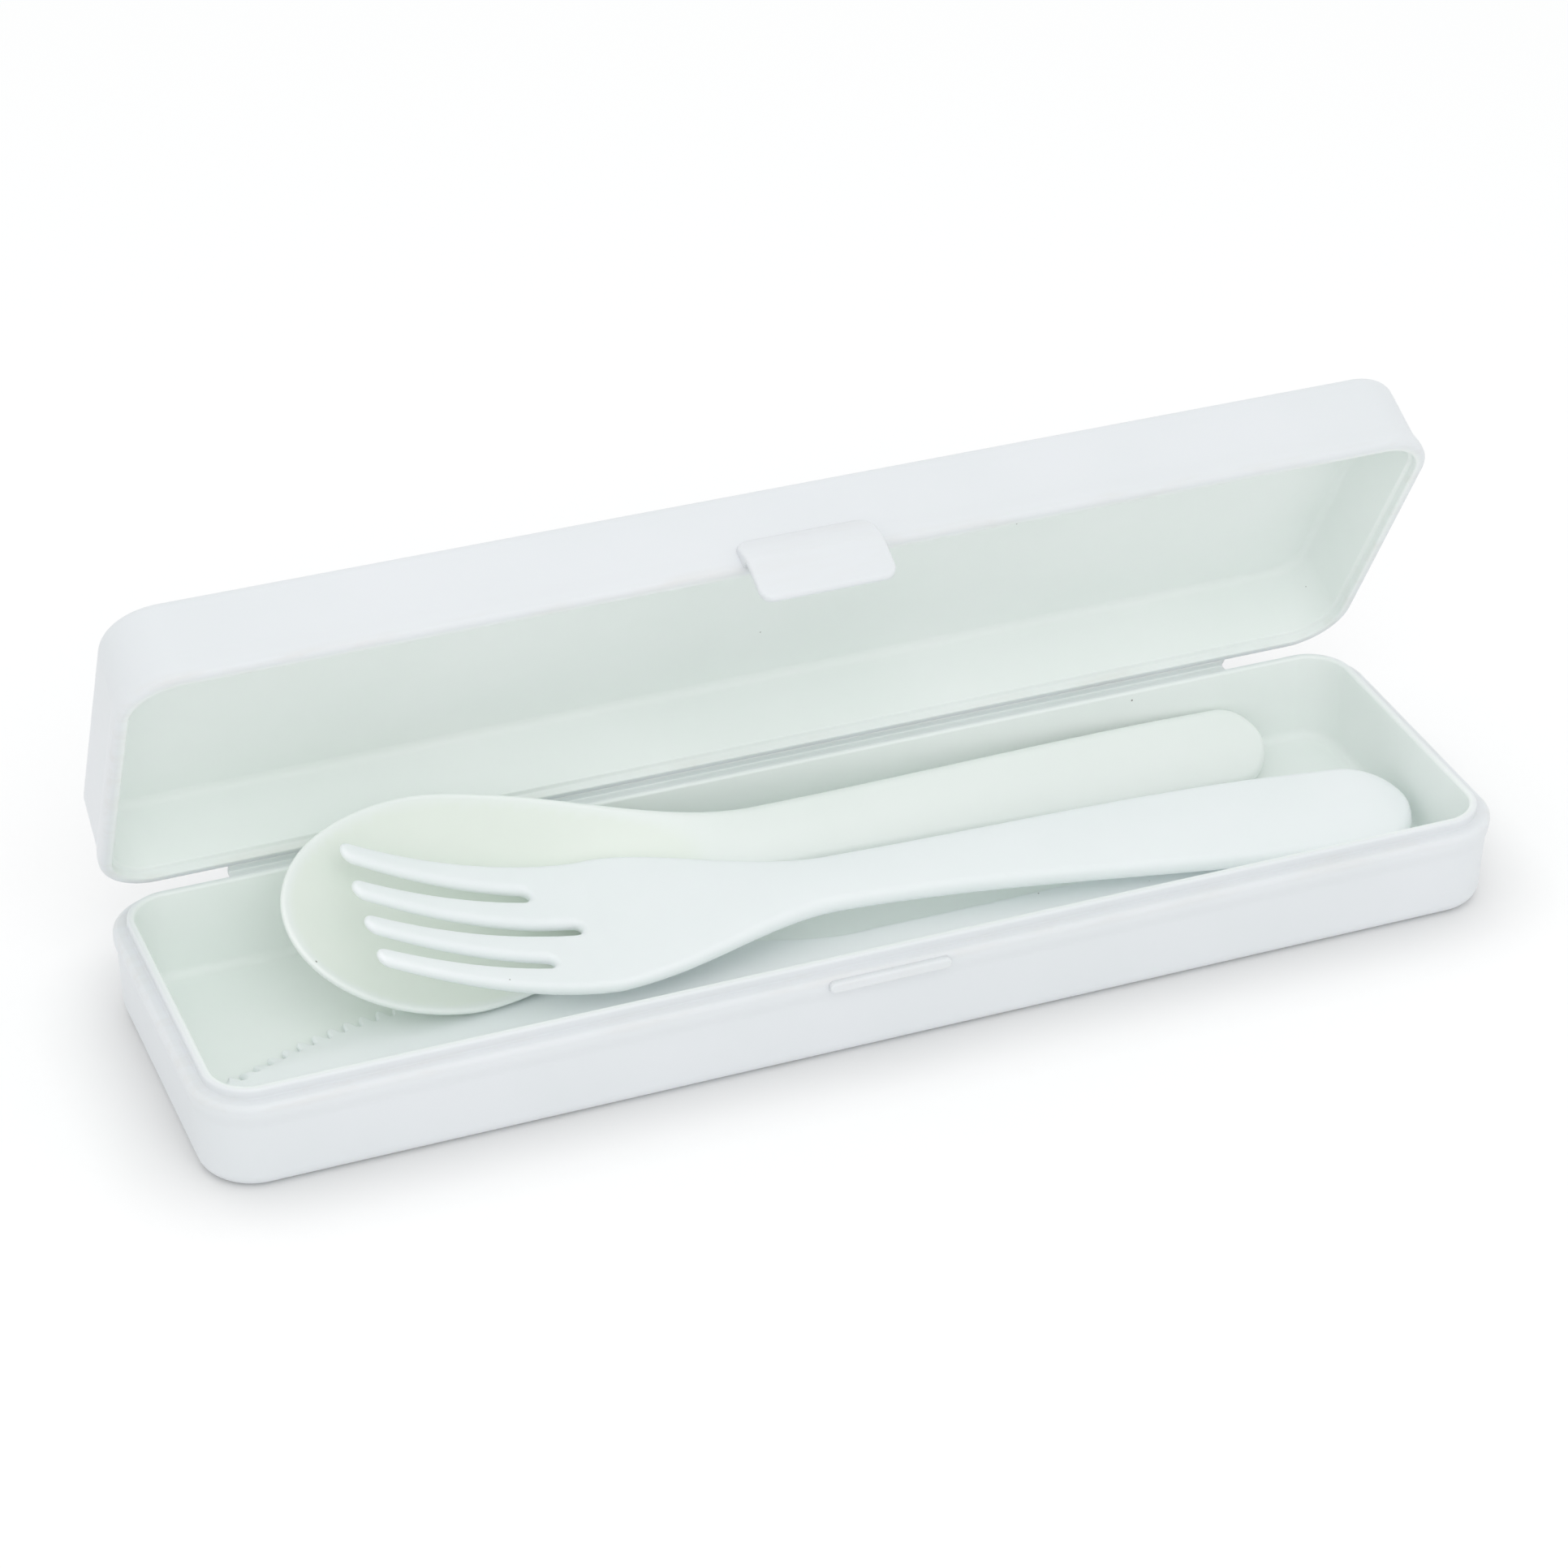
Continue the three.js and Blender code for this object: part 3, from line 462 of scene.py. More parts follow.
step_inset, step_height = LEDGE_WIDTH - PART_GAP, lip_top + PART_GAP
ceiling = lid_rim + LID_HEIGHT - TOP_THICKNESS
ceiling_inset = LID_WALL + (ceiling - step_height) * OUTER_LEAN
lid_profile = soften(np.concatenate([
    outside_profile(LID_HEIGHT) + [0, lid_rim],
    [[step_inset, lid_rim], [step_inset, step_height - PART_GAP], [LID_WALL, step_height]],
    arc(ceiling_inset + INNER_FILLET, ceiling - INNER_FILLET, INNER_FILLET, 0, 90, 8),
])[::-1], SOFT_EDGE)
lid_inner = np.arange(len(lid_profile)) < len(lid_profile) // 2
# painted light: the lid's inner side gets the paler, greener inside colour
lid_painted_light = np.where(lid_inner, np.clip((lid_profile[:, 0] - 0.6) / 1.4, 0, 1), 0)
lid_rub = np.clip(1 - np.abs(lid_profile[:, 1] - lid_rim - 0.3) / 1.4, 0, 1)
points, faces = case_shell(lid_profile)
marks = {"painted_inner_light_shade": ring_marks(lid_painted_light), "exposed": ring_marks(lid_rub)}
put_piece("case_lid_shell", opened(points), faces, CASE_PLASTIC, "lid", "case_lid", marks)

# %% [markdown]
# ### Film hinge
# A living hinge is a thin film between two thick walls, moulded in one with them. It leaves the base level,
# bends about the hinge line and runs into the lid's rim, and it is thinnest in the middle of the bend.

# %% Film hinge
HINGE_INSET, FILM_THICKNESS, FILM_WAIST, WAIST_REACH = 19.6, 0.5, 0.34, 0.55
ROOT_IN = 0.55
FILM_STEPS, FILM_TUCK, FILM_PAINTED_LIGHT = 41, 0.75, 0.8
film_radius = (PART_GAP + FILM_THICKNESS) / 2
bend = math.pi - LID_OPEN
turns = np.linspace(0, bend, 19)
straight = np.linspace(-HINGE_REACH - ROOT_IN, 0, 6)[:-1]
line = [(s, -film_radius, 0.0) for s in straight]
line += [(film_radius * math.sin(t), -film_radius * math.cos(t), t) for t in turns]
tangent = np.array([math.cos(bend), math.sin(bend)])
knee = np.array([film_radius * math.sin(bend), -film_radius * math.cos(bend)])
line += [(*(knee - tangent * s), bend) for s in straight[::-1]]
line = np.array(line)
normal = np.column_stack([-np.sin(line[:, 2]), np.cos(line[:, 2])])
travel = np.concatenate([[0], np.cumsum(np.hypot(*np.diff(line[:, :2], axis=0).T))])
waist = np.exp(-((travel - travel[-1] / 2) / WAIST_REACH) ** 2)
half = (FILM_THICKNESS - (FILM_THICKNESS - FILM_WAIST) * waist)[:, None] / 2
loop = np.concatenate([line[:, :2] + normal * half, (line[:, :2] - normal * half)[::-1]])
loop += [hinge_y, hinge_z]
reach = half_length - HINGE_INSET
inner_run = np.linspace(-reach + 1, reach - 1, FILM_STEPS)
along = np.concatenate([[-reach, -reach + 0.15], inner_run, [reach - 0.15, reach]])
tuck = np.array([FILM_TUCK, 1.0] + [1.0] * FILM_STEPS + [1.0, FILM_TUCK])
middle = np.concatenate([line[:, :2], line[::-1, :2]]) + [hinge_y, hinge_z]
rings = []
for x, size in zip(along, tuck):
    edge = middle + (loop - middle) * size
    rings.append(np.column_stack([np.full(len(edge), x), edge]))
points, faces = skin(rings)
# painted light: one face of the film gets most of the paler, greener inside colour
marks = {"painted_inner_light_shade": np.tile(np.repeat([FILM_PAINTED_LIGHT, 0.0], len(line)), len(along))}
film = put_piece("film_hinge", points, faces, CASE_PLASTIC, marks=marks)
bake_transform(film)

# %% [markdown]
# ### Snap tab
# The tab grows out of the lid's front wall on a ramp and hangs down in front of the rim, where it springs over
# a small bar on the base. It is a stack of level sections, each a rounded rectangle, from the round foot to
# the top of the ramp. Level sections are easy to check against the wall at every height.

# %% Snap tab
TAB_WIDTH, TAB_RAMP, TAB_HANG, TAB_THICKNESS, TAB_CORNER = 20.6, 4.9, 6.9, 1.4, 2.0
TAB_SHELF, TAB_EDGE, TAB_RUBBED = 0.5, 0.55, 0.35
CATCH_WIDTH, CATCH_HEIGHT, CATCH_PROUD, CATCH_BELOW = 18.6, 1.7, 0.9, 0.4
catch_face = half_width + CATCH_PROUD
tab_inner = catch_face + PART_GAP
tab_outer = tab_inner + TAB_THICKNESS
tab_round = TAB_THICKNESS / 2
wall = half_width - BAND_PROUD - TAB_RAMP * OUTER_LEAN
ramp_top, foot, ramp_foot = lid_rim + TAB_RAMP, lid_rim - TAB_HANG, lid_rim - 0.6


def curve(start, control, stop, steps=40):
    t = np.linspace(0, 1, steps + 1)[:, None]
    first, second, third = np.array(start), np.array(control), np.array(stop)
    return (1 - t) ** 2 * first + 2 * t * (1 - t) * second + t ** 2 * third


def rounded_section(half_x, inner, outer, height, rounding, steps=5, along=10):
    radius = min(rounding, (outer - inner) / 2 * 0.98, half_x * 0.98)
    centre = [(half_x - radius, outer - radius), (radius - half_x, outer - radius),
              (radius - half_x, inner + radius), (half_x - radius, inner + radius)]
    ring = []
    for quarter, (cx, cq) in enumerate(centre):
        turn = (quarter + np.linspace(0, 1, steps + 1)) * math.pi / 2
        bow = np.column_stack([cx + radius * np.cos(turn), cq + radius * np.sin(turn)])
        after = centre[(quarter + 1) % 4]
        turned = (quarter + 1) * math.pi / 2
        to = np.array(after) + radius * np.array([math.cos(turned), math.sin(turned)])
        gap = np.linspace(bow[-1], to, (along if quarter % 2 == 0 else 2) + 1)[1:-1]
        ring += [bow, gap]
    flat = np.concatenate(ring)
    return np.column_stack([flat[:, 0], -flat[:, 1], np.full(len(flat), height)])


ramp = curve((wall, ramp_top), (tab_outer - 0.2, lid_rim + 1.2), (tab_outer - 0.1, ramp_foot))[::-1]
low = foot + tab_round * (1 - np.cos(np.linspace(0.12, math.pi / 2, 9)))
above = ramp_top - 0.02 - TAB_CORNER * (1 - np.sin(np.linspace(0, math.pi / 2, 10)))
heights = np.concatenate([
    low,
    np.linspace(low[-1], lid_rim, 12)[1:],
    np.linspace(lid_rim, lid_rim + TAB_SHELF, 5)[1:],
    [lid_rim + TAB_SHELF],
    np.linspace(lid_rim + TAB_SHELF + 0.1, above[0], 10)[:-1],
    above,
])
rings = []
in_wall = False
for z in heights:
    if z > ramp_foot:
        outer = np.interp(z, ramp[:, 1], ramp[:, 0])
    else:
        outer = np.interp(z, [foot + tab_round, ramp_foot], [tab_outer, tab_outer - 0.1])
    inner = tab_inner
    if z < foot + tab_round:
        lift = math.sqrt(max(tab_round ** 2 - (tab_round - (z - foot)) ** 2, 0))
        outer, inner = tab_inner + tab_round + lift, tab_inner + tab_round - lift
    elif z > lid_rim:
        inner = tab_inner - TAB_SHELF * min((z - lid_rim) / TAB_SHELF, 1) ** 2
        if z >= lid_rim + TAB_SHELF:
            inner = wall - LID_WALL / 2 if in_wall else inner
            in_wall = True
    near = min(z - foot, ramp_top - z, TAB_CORNER)
    cut = TAB_CORNER - math.sqrt(TAB_CORNER ** 2 - (TAB_CORNER - near) ** 2)
    rings.append(rounded_section(TAB_WIDTH / 2 - cut, inner, outer, z, TAB_EDGE))
points, faces = skin(rings)
marks = {"exposed": np.full(len(points), TAB_RUBBED)}
put_piece("snap_tab", opened(points), faces, CASE_PLASTIC, "lid", None, marks)

# %% [markdown]
# ### Catch
# The bar that the tab springs over stands on the base's front wall, just below the rim. It is a flat rounded
# outline pushed out of the wall, and its last rings step in along a quarter circle, which rounds its edge.

# %% Catch
CATCH_EDGE, CATCH_ROOT, CATCH_RUBBED = 0.4, 1.0, 0.5
catch_round = CATCH_HEIGHT / 2 - 0.1


def stadium(half_x, half_z, radius, depth, steps=8):
    ring = []
    for quarter, (sx, sz) in enumerate([(1, 1), (-1, 1), (-1, -1), (1, -1)]):
        turn = (quarter + np.linspace(0, 1, steps + 1)) * math.pi / 2
        x = sx * (half_x - radius) + radius * np.cos(turn)
        z = sz * (half_z - radius) + radius * np.sin(turn)
        ring.append(np.column_stack([x, np.full(len(x), -depth), z]))
    return np.concatenate(ring)


rings = [stadium(CATCH_WIDTH / 2, CATCH_HEIGHT / 2, catch_round, half_width - CATCH_ROOT)]
for turn in np.linspace(0, math.pi / 2, 7):
    inset = CATCH_EDGE * (1 - math.cos(turn))
    depth = catch_face - CATCH_EDGE * (1 - math.sin(turn))
    rings.append(stadium(CATCH_WIDTH / 2 - inset, CATCH_HEIGHT / 2 - inset, catch_round - inset, depth))
points, faces = skin(rings)
points[:, 2] += BASE_HEIGHT - CATCH_BELOW - CATCH_HEIGHT / 2
marks = {"exposed": np.full(len(points), CATCH_RUBBED)}
put_piece("catch_bar", points, faces, CASE_PLASTIC, "base", None, marks)

# %% [markdown]
# ## Cutlery
# A moulded fork or spoon is a bent plate with rounded edges, so we start from its outline as seen from above.
# These tools space the points of an outline evenly, find which way is inwards at each of them, and scatter an
# even grid of points over what lies inside.

# %% Outlines


def ease(x, low, high):
    t = np.clip((np.asarray(x, float) - low) / (high - low), 0, 1)
    return t * t * (3 - 2 * t)


def mix(first, second, share):
    return first + (second - first) * share


def spaced(path, step):
    path = np.asarray(path, float)
    travel = np.concatenate([[0], np.cumsum(np.hypot(*np.diff(path, axis=0).T))])
    count = max(int(round(travel[-1] / step)), 2)
    stops = np.linspace(0, travel[-1], count + 1)
    return np.column_stack([np.interp(stops, travel, path[:, k]) for k in (0, 1)])


def inward(outline):
    ahead, behind = np.roll(outline, -1, axis=0), np.roll(outline, 1, axis=0)
    first, second = outline - behind, ahead - outline
    first /= np.hypot(*first.T)[:, None]
    second /= np.hypot(*second.T)[:, None]
    tangent = first + second
    length = np.hypot(*tangent.T)[:, None]
    across = np.column_stack([first[:, 1], -first[:, 0]])
    tangent = np.where(length > 0.05, tangent / np.maximum(length, 1e-9), across)
    return np.column_stack([-tangent[:, 1], tangent[:, 0]])


def inside_points(loop, step, margin):
    low, high = loop.min(0), loop.max(0)
    grid_x, grid_y = np.meshgrid(np.arange(low[0], high[0], step), np.arange(low[1], high[1], step))
    grid_x[1::2] += step / 2
    spots = np.column_stack([grid_x.ravel(), grid_y.ravel()])
    a, b = loop, np.roll(loop, -1, axis=0)
    edge = (b - a)[None]
    rise = b[:, 1] - a[:, 1]
    slope = (b[:, 0] - a[:, 0]) / np.where(rise == 0, 1e-9, rise)
    keep = []
    for chunk in np.array_split(spots, max(len(spots) // 400, 1)):
        rel = chunk[:, None] - a[None]
        share = np.clip((rel * edge).sum(2) / np.maximum((edge ** 2).sum(2), 1e-12), 0, 1)
        apart = np.sqrt(((rel - share[..., None] * edge) ** 2).sum(2)).min(1)
        spans = (a[None, :, 1] > chunk[:, None, 1]) != (b[None, :, 1] > chunk[:, None, 1])
        cross = a[:, 0] + (chunk[:, None, 1] - a[:, 1]) * slope
        odd = (spans & (chunk[:, None, 0] < cross)).sum(1) % 2 == 1
        keep.append(chunk[odd & (apart > margin)])
    return np.concatenate(keep)


sample_square = np.array([[0.0, 0.0], [10.0, 0.0], [10.0, 10.0], [0.0, 10.0]])
print("grid points in a 10 mm square", len(inside_points(sample_square, 1.0, 0.55)))

# %% [markdown]
# ### From an outline to a bent plate
# We step in from the outline in a few offsets, which rounds the edge, and fill what is left with triangles.
# Then two functions lift it off the page: the height of its middle surface, and its thickness. The same
# recipe makes all three pieces. `laid` turns a piece and puts it in the middle of its box in the frame.

# %% A bent plate
ROUND_STEPS = 7


def bent_plate(outline, height, thickness, step):
    count = len(outline)
    side = inward(outline)
    full = thickness(outline[:, 0], outline[:, 1]) / 2
    flat, rise = [outline], [np.zeros(count)]
    for turn in np.linspace(0, math.pi / 2, ROUND_STEPS + 1)[1:]:
        flat.append(outline + side * (full * (1 - math.cos(turn)))[:, None])
        rise.append(np.full(count, math.sin(turn)))
    loop = flat[-1]
    extra = inside_points(loop, step, 0.55 * step)
    corners = [Vector(p) for p in np.concatenate([loop, extra])]
    filled = delaunay_2d_cdt(corners, [], [list(range(count))], 1, 1e-7)
    spots, triangles, origin = np.array([v[:] for v in filled[0]]), filled[2], filled[3]
    plan = np.concatenate(flat[:-1] + [spots])
    lift = np.concatenate(rise[:-1] + [np.ones(len(spots))])
    start = ROUND_STEPS * count
    landing = {i: start + k for k, olds in enumerate(origin) for i in olds}
    middle = height(plan[:, 0], plan[:, 1])
    swell = thickness(plan[:, 0], plan[:, 1]) / 2 * lift
    upper = np.column_stack([plan, middle + swell])
    lower = np.column_stack([plan, middle - swell])
    below = len(plan) - count
    faces = []
    for k in range(ROUND_STEPS):
        for i in range(count):
            j = (i + 1) % count
            quad = [k * count + i, k * count + j, (k + 1) * count + j, (k + 1) * count + i]
            if k == ROUND_STEPS - 1:
                quad[2], quad[3] = landing[j], landing[i]
            faces.append(quad)
            faces.append([q + below if q >= count else q for q in reversed(quad)])
    for triangle in triangles:
        up_side = [start + t for t in triangle]
        faces.append(up_side)
        faces.append([q + below for q in reversed(up_side)])
    faces = [f for f in faces if len(set(f)) == len(f)]
    return np.concatenate([upper, lower[count:]]), faces


def laid(points, tilt, pitch, yaw, node):
    turn = np.array(Euler(np.radians([tilt, pitch, yaw]), "XYZ").to_matrix())
    moved = points @ turn.T
    low, high = (np.array(corner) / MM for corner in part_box(node))
    return moved + (low + high) / 2 - (moved.min(0) + moved.max(0)) / 2


print("plate recipe ready,", ROUND_STEPS, "steps round an edge")

# %% [markdown]
# ### Handles
# All three handles widen from a neck and end in a half round, with a slightly raised middle. The half width is
# one function of the place along the handle, so that knife, spoon and fork can share it.

# %% Handles
CROWN = 0.4
inside_length = CASE_LENGTH - 2 * floor_inset
inside_width = CASE_WIDTH - 2 * floor_inset


def handle_half(x, neck_at, length, neck, end):
    half = mix(neck, end, ease(x, neck_at, length - end)) / 2
    past = np.clip((x - (length - end / 2)) / (end / 2), 0, 1)
    return half * np.sqrt(1 - past ** 2)


def crown(half, y):
    return CROWN * np.maximum(1 - (y / np.maximum(half, 0.01)) ** 2, 0)


def turned_end(start, stop, steps=60):
    return start + (stop - start) * np.sin(np.linspace(0, math.pi / 2, steps))


print("room for the cutlery", round(inside_length, 2), "by", round(inside_width, 2), "mm")

# %% [markdown]
# ### Knife
# Flat underneath, with a bevel towards the toothed edge. The edge curves up to the point, the back is nearly
# straight, and both run into the handle over 20 mm.

# %% Knife's form
BLADE_LENGTH, BLADE_THICKNESS, BLADE_EDGE, POINT_LENGTH, POINT_ROUND = 86.0, 2.0, 0.9, 30.0, 9
KNIFE_NECK, KNIFE_END, KNIFE_HANDLE = 11.0, 15.0, 2.8
knife_length = inside_length - 25
blade_width = inside_width - 29


def knife_edge(x):
    return blade_width * 0.55 * (1 - np.maximum(1 - x / POINT_LENGTH, 0) ** 1.7)


def knife_sides(x):
    half = handle_half(x, BLADE_LENGTH + 12, knife_length, KNIFE_NECK, KNIFE_END)
    share = ease(x, BLADE_LENGTH - 10, BLADE_LENGTH + 10)
    spine = -blade_width * 0.45 * np.sqrt(1 - np.maximum(1 - x / POINT_ROUND, 0) ** 2)
    return mix(spine, -half, share), mix(knife_edge(x), half, share)


def knife_thickness(x, y):
    edge = np.maximum(knife_edge(np.maximum(x, 0)), 0.05)
    blade = mix(BLADE_THICKNESS, BLADE_EDGE, ease(y / edge, 0, 1))
    return mix(blade, KNIFE_HANDLE, ease(x, BLADE_LENGTH - 10, BLADE_LENGTH + 20))


def knife_height(x, y):
    return knife_thickness(x, y) / 2


print("knife", round(knife_length, 2), "mm long, blade", round(blade_width, 2), "mm wide")

# %% [markdown]
# ### The knife's teeth
# The teeth are a wave of rounded thumbs and narrow notches along the curve of the edge, so we walk along that
# edge and dip in at every notch. Half of a notch is one Bezier curve, level at both of its ends. The rest of
# the outline follows the two sides.

# %% Knife
TOOTH_PITCH, TOOTH_DEPTH, TOOTH_RUN = 2.66, 2.2, 66.0
KNIFE_YAW, KNIFE_PAINTED_SHADE = -2.4, 0.1
walk = np.arange(1.0, TOOTH_RUN + 4, 0.02)
paced = np.concatenate([[0], np.cumsum(np.hypot(np.diff(walk), np.diff(knife_edge(walk))))])
notches = np.arange(TOOTH_PITCH / 2, np.interp(TOOTH_RUN, walk, paced), TOOTH_PITCH)
bite = np.linspace(-1, 1, 17)[:-1]
near, far = np.abs(bite), 1 - np.abs(bite)
aside = np.sign(bite) * TOOTH_PITCH / 2 * (near * far + near ** 3)
depths = TOOTH_DEPTH * far ** 2 * (far + 3 * near)
teeth = []
for notch in notches:
    x = np.interp(notch + aside, paced, walk)
    slope = np.arctan2(knife_edge(x + 0.01) - knife_edge(x - 0.01), 0.02)
    teeth.append(np.column_stack([x + np.sin(slope) * depths, knife_edge(x) - np.cos(slope) * depths]))
teeth = np.concatenate(teeth)
print("notches", len(notches))

half_round = turned_end(knife_length - KNIFE_END / 2, knife_length)
point = POINT_ROUND * (1 - np.cos(np.linspace(0.0, math.pi / 2, 40)))
x = np.concatenate([point, np.arange(POINT_ROUND + 0.2, knife_length - KNIFE_END / 2, 0.2), half_round])
spine_path = spaced(np.column_stack([x, knife_sides(x)[0]]), 0.55)
x = np.concatenate([np.arange(teeth[-1, 0] + 0.3, knife_length - KNIFE_END / 2, 0.2), half_round])
upper_path = spaced(np.column_stack([x, knife_sides(x)[1]])[::-1], 0.55)
outline = np.concatenate([spine_path[2:-1], upper_path, teeth[::-1]])
points, faces = bent_plate(outline, knife_height, knife_thickness, 1.0)
# painted shade: the knife gets a little of the darker, greener cutlery colour
marks = {"painted_inner_light_shade": np.full(len(points), KNIFE_PAINTED_SHADE)}
put_piece("knife_blade_and_handle", laid(points, 0, 0, KNIFE_YAW, "knife"), faces, CUTLERY_PLASTIC,
          "base", "knife", marks, weighted=False)

# %% [markdown]
# ### Spoon
# The bowl is a parabola across and a smooth dip along, and it runs into the handle over a long neck. The rim
# rises a little towards the tip. x is 0 in the middle of the bowl.

# %% Spoon's form
BOWL_LENGTH, BOWL_DEPTH, BOWL_WALL = 54.4, 7.4, 1.9
SPOON_NECK, SPOON_END, SPOON_HANDLE = 10.6, 13.2, 2.8
TIP_LIFT, TIP_SHARE, SPOON_ARCH, SPOON_KICK = 5.0, 0.35, 0.8, 3.3
spoon_length = inside_length - 30
bowl_half = (inside_width - 14.4) / 2
spoon_neck = BOWL_LENGTH + 22
spoon_tip = -BOWL_LENGTH / 2


def spoon_half(x):
    from_tip = x - spoon_tip
    bow = bowl_half * np.sqrt(np.maximum(1 - np.minimum(x / spoon_tip, 1) ** 2 * (x < 0), 0))
    bowl = mix(bow, SPOON_NECK / 2, ease(from_tip, 0.45 * BOWL_LENGTH, spoon_neck))
    handle = handle_half(from_tip, spoon_neck, spoon_length, SPOON_NECK, SPOON_END)
    return np.where(from_tip < spoon_neck, bowl, handle)


def spoon_thickness(x, y):
    return mix(BOWL_WALL, SPOON_HANDLE, ease(x, 12, 50))


def spoon_dish(x, y):
    half = np.maximum(spoon_half(x), 0.01)
    tipward = np.maximum(1 - (2 * x / BOWL_LENGTH) ** 2, 0)
    dip = np.where(x < 0, tipward, 1 - ease(x, 0, spoon_neck + spoon_tip))
    return BOWL_DEPTH * dip * np.maximum(1 - (y / half) ** 2, 0)


def spoon_height(x, y):
    half = np.maximum(spoon_half(x), 0.01)
    along = np.maximum(x - BOWL_LENGTH / 6, 0) / (spoon_length - BOWL_LENGTH * 2 / 3)
    tip = TIP_LIFT * np.maximum(TIP_SHARE - (x - spoon_tip) / (2 * BOWL_LENGTH), 0) ** 2 / TIP_SHARE ** 2
    line = SPOON_ARCH * np.sin(math.pi * along ** 0.75) + SPOON_KICK * along + tip
    return line - spoon_dish(x, y) + ease(x, 20, 60) * crown(half, y)


print("spoon", round(spoon_length, 2), "mm long, bowl", round(2 * bowl_half, 2), "mm wide")

# %% [markdown]
# ### The spoon's outline
# The outline runs down the near side from the tip and back along the far side. The spoon leans on the back
# wall, with its bowl on the blade. The dish is painted darker and greener, painted shade that stops short of
# the rim and leaves the rim as a paler bead, a painted highlight. The handle gets half of that shade.

# %% Spoon
SPOON_TILT, SPOON_PITCH, SPOON_YAW = 36, 4.7766, 4.7
end_at = spoon_length + spoon_tip - SPOON_END / 2
x = np.concatenate([
    spoon_tip * np.cos(np.linspace(0, math.pi / 2, 160)),
    np.arange(0.2, end_at, 0.2),
    turned_end(end_at, spoon_length + spoon_tip),
])
rim = np.column_stack([x, spoon_half(x)])
near, far = spaced(rim * [1, -1], 0.5), spaced(rim[::-1], 0.5)
outline = np.concatenate([near[:-1], far[:-1]])
points, faces = bent_plate(outline, spoon_height, spoon_thickness, 1.0)
# painted shade: half on the whole spoon, full in the dish
marks = {"painted_inner_light_shade": 0.5 + 0.5 * ease(spoon_dish(points[:, 0], points[:, 1]), 0.5, 1.3)}
resting = laid(points, SPOON_TILT, SPOON_PITCH, SPOON_YAW, "spoon")
put_piece("spoon_bowl_and_handle", resting, faces, CUTLERY_PLASTIC,
          "base", "spoon", marks, weighted=False)

# %% [markdown]
# ### Fork
# The head is cupped a little and the tines curve up towards their tips. A tine is widest at its root, where it
# is as wide as the slots leave room for. x is 0 at the end of the handle, so the tips lie at minus the length.

# %% Fork's form
HEAD_LENGTH, HEAD_THICKNESS, HEAD_CUP, TIP_INSET = 36.0, 2.3, 0.8, 0.7
FORK_NECK, NECK_FROM_TIP, FORK_END, FORK_HANDLE = 10.4, 71.0, 17.6, 2.8
TINE_LENGTH, MIDDLE_SLOT, TINE_COUNT, TINE_TIP, SLOT_WIDTH = 26.0, 6.0, 4, 3.0, 2.2
TINE_LIFT, FORK_ARCH, FORK_KICK = 13.3, 2.2, -3.5
fork_length = inside_length - 29
head_width = inside_width - 22.6
tine_root = (head_width - (TINE_COUNT - 1) * SLOT_WIDTH) / TINE_COUNT


def fork_half(x):
    from_tip = x + fork_length
    head = head_width / 2 - TIP_INSET * (1 - ease(from_tip, 0, HEAD_LENGTH))
    blade = mix(head, FORK_NECK / 2, ease(from_tip, HEAD_LENGTH, NECK_FROM_TIP))
    handle = handle_half(from_tip, NECK_FROM_TIP, fork_length, FORK_NECK, FORK_END)
    return np.where(from_tip < NECK_FROM_TIP, blade, handle)


def fork_thickness(x, y):
    from_tip = x + fork_length
    full = mix(HEAD_THICKNESS, FORK_HANDLE, ease(from_tip, HEAD_LENGTH, NECK_FROM_TIP))
    return full * (0.92 + 0.08 * ease(from_tip, 0, TINE_LENGTH))


def fork_height(x, y):
    from_tip = x + fork_length
    lift = TINE_LIFT * np.maximum(1 - from_tip / HEAD_LENGTH, 0) ** 1.7
    along = np.maximum(from_tip - HEAD_LENGTH, 0) / (fork_length - HEAD_LENGTH)
    line = FORK_ARCH * np.sin(math.pi * np.minimum(along, 1) ** 0.8) + FORK_KICK * along
    handle = ease(from_tip, HEAD_LENGTH, NECK_FROM_TIP)
    cup = HEAD_CUP * (2 * y / head_width) ** 2 * (1 - handle)
    return lift + line + cup + handle * crown(fork_half(x), y)


def tine_sides(index, from_tip):
    share = 2 * index / (TINE_COUNT - 1) - 1
    width = mix(TINE_TIP, tine_root, np.clip(from_tip / TINE_LENGTH, 0, 1))
    centre = share * (fork_half(from_tip - fork_length) - width / 2)
    past = np.clip(1 - from_tip / (TINE_TIP / 2), 0, 1)
    half = width / 2 * np.sqrt(1 - past ** 2)
    return centre - half, centre + half


print("fork", round(fork_length, 2), "mm long, tines", round(tine_root, 2), "mm wide at the root")

# %% [markdown]
# ### The fork's outline
# The outline runs up one side of the handle and the head, round each tine and into each slot, and back down
# the other side. The slots end in half circles, and the middle one is the longest.

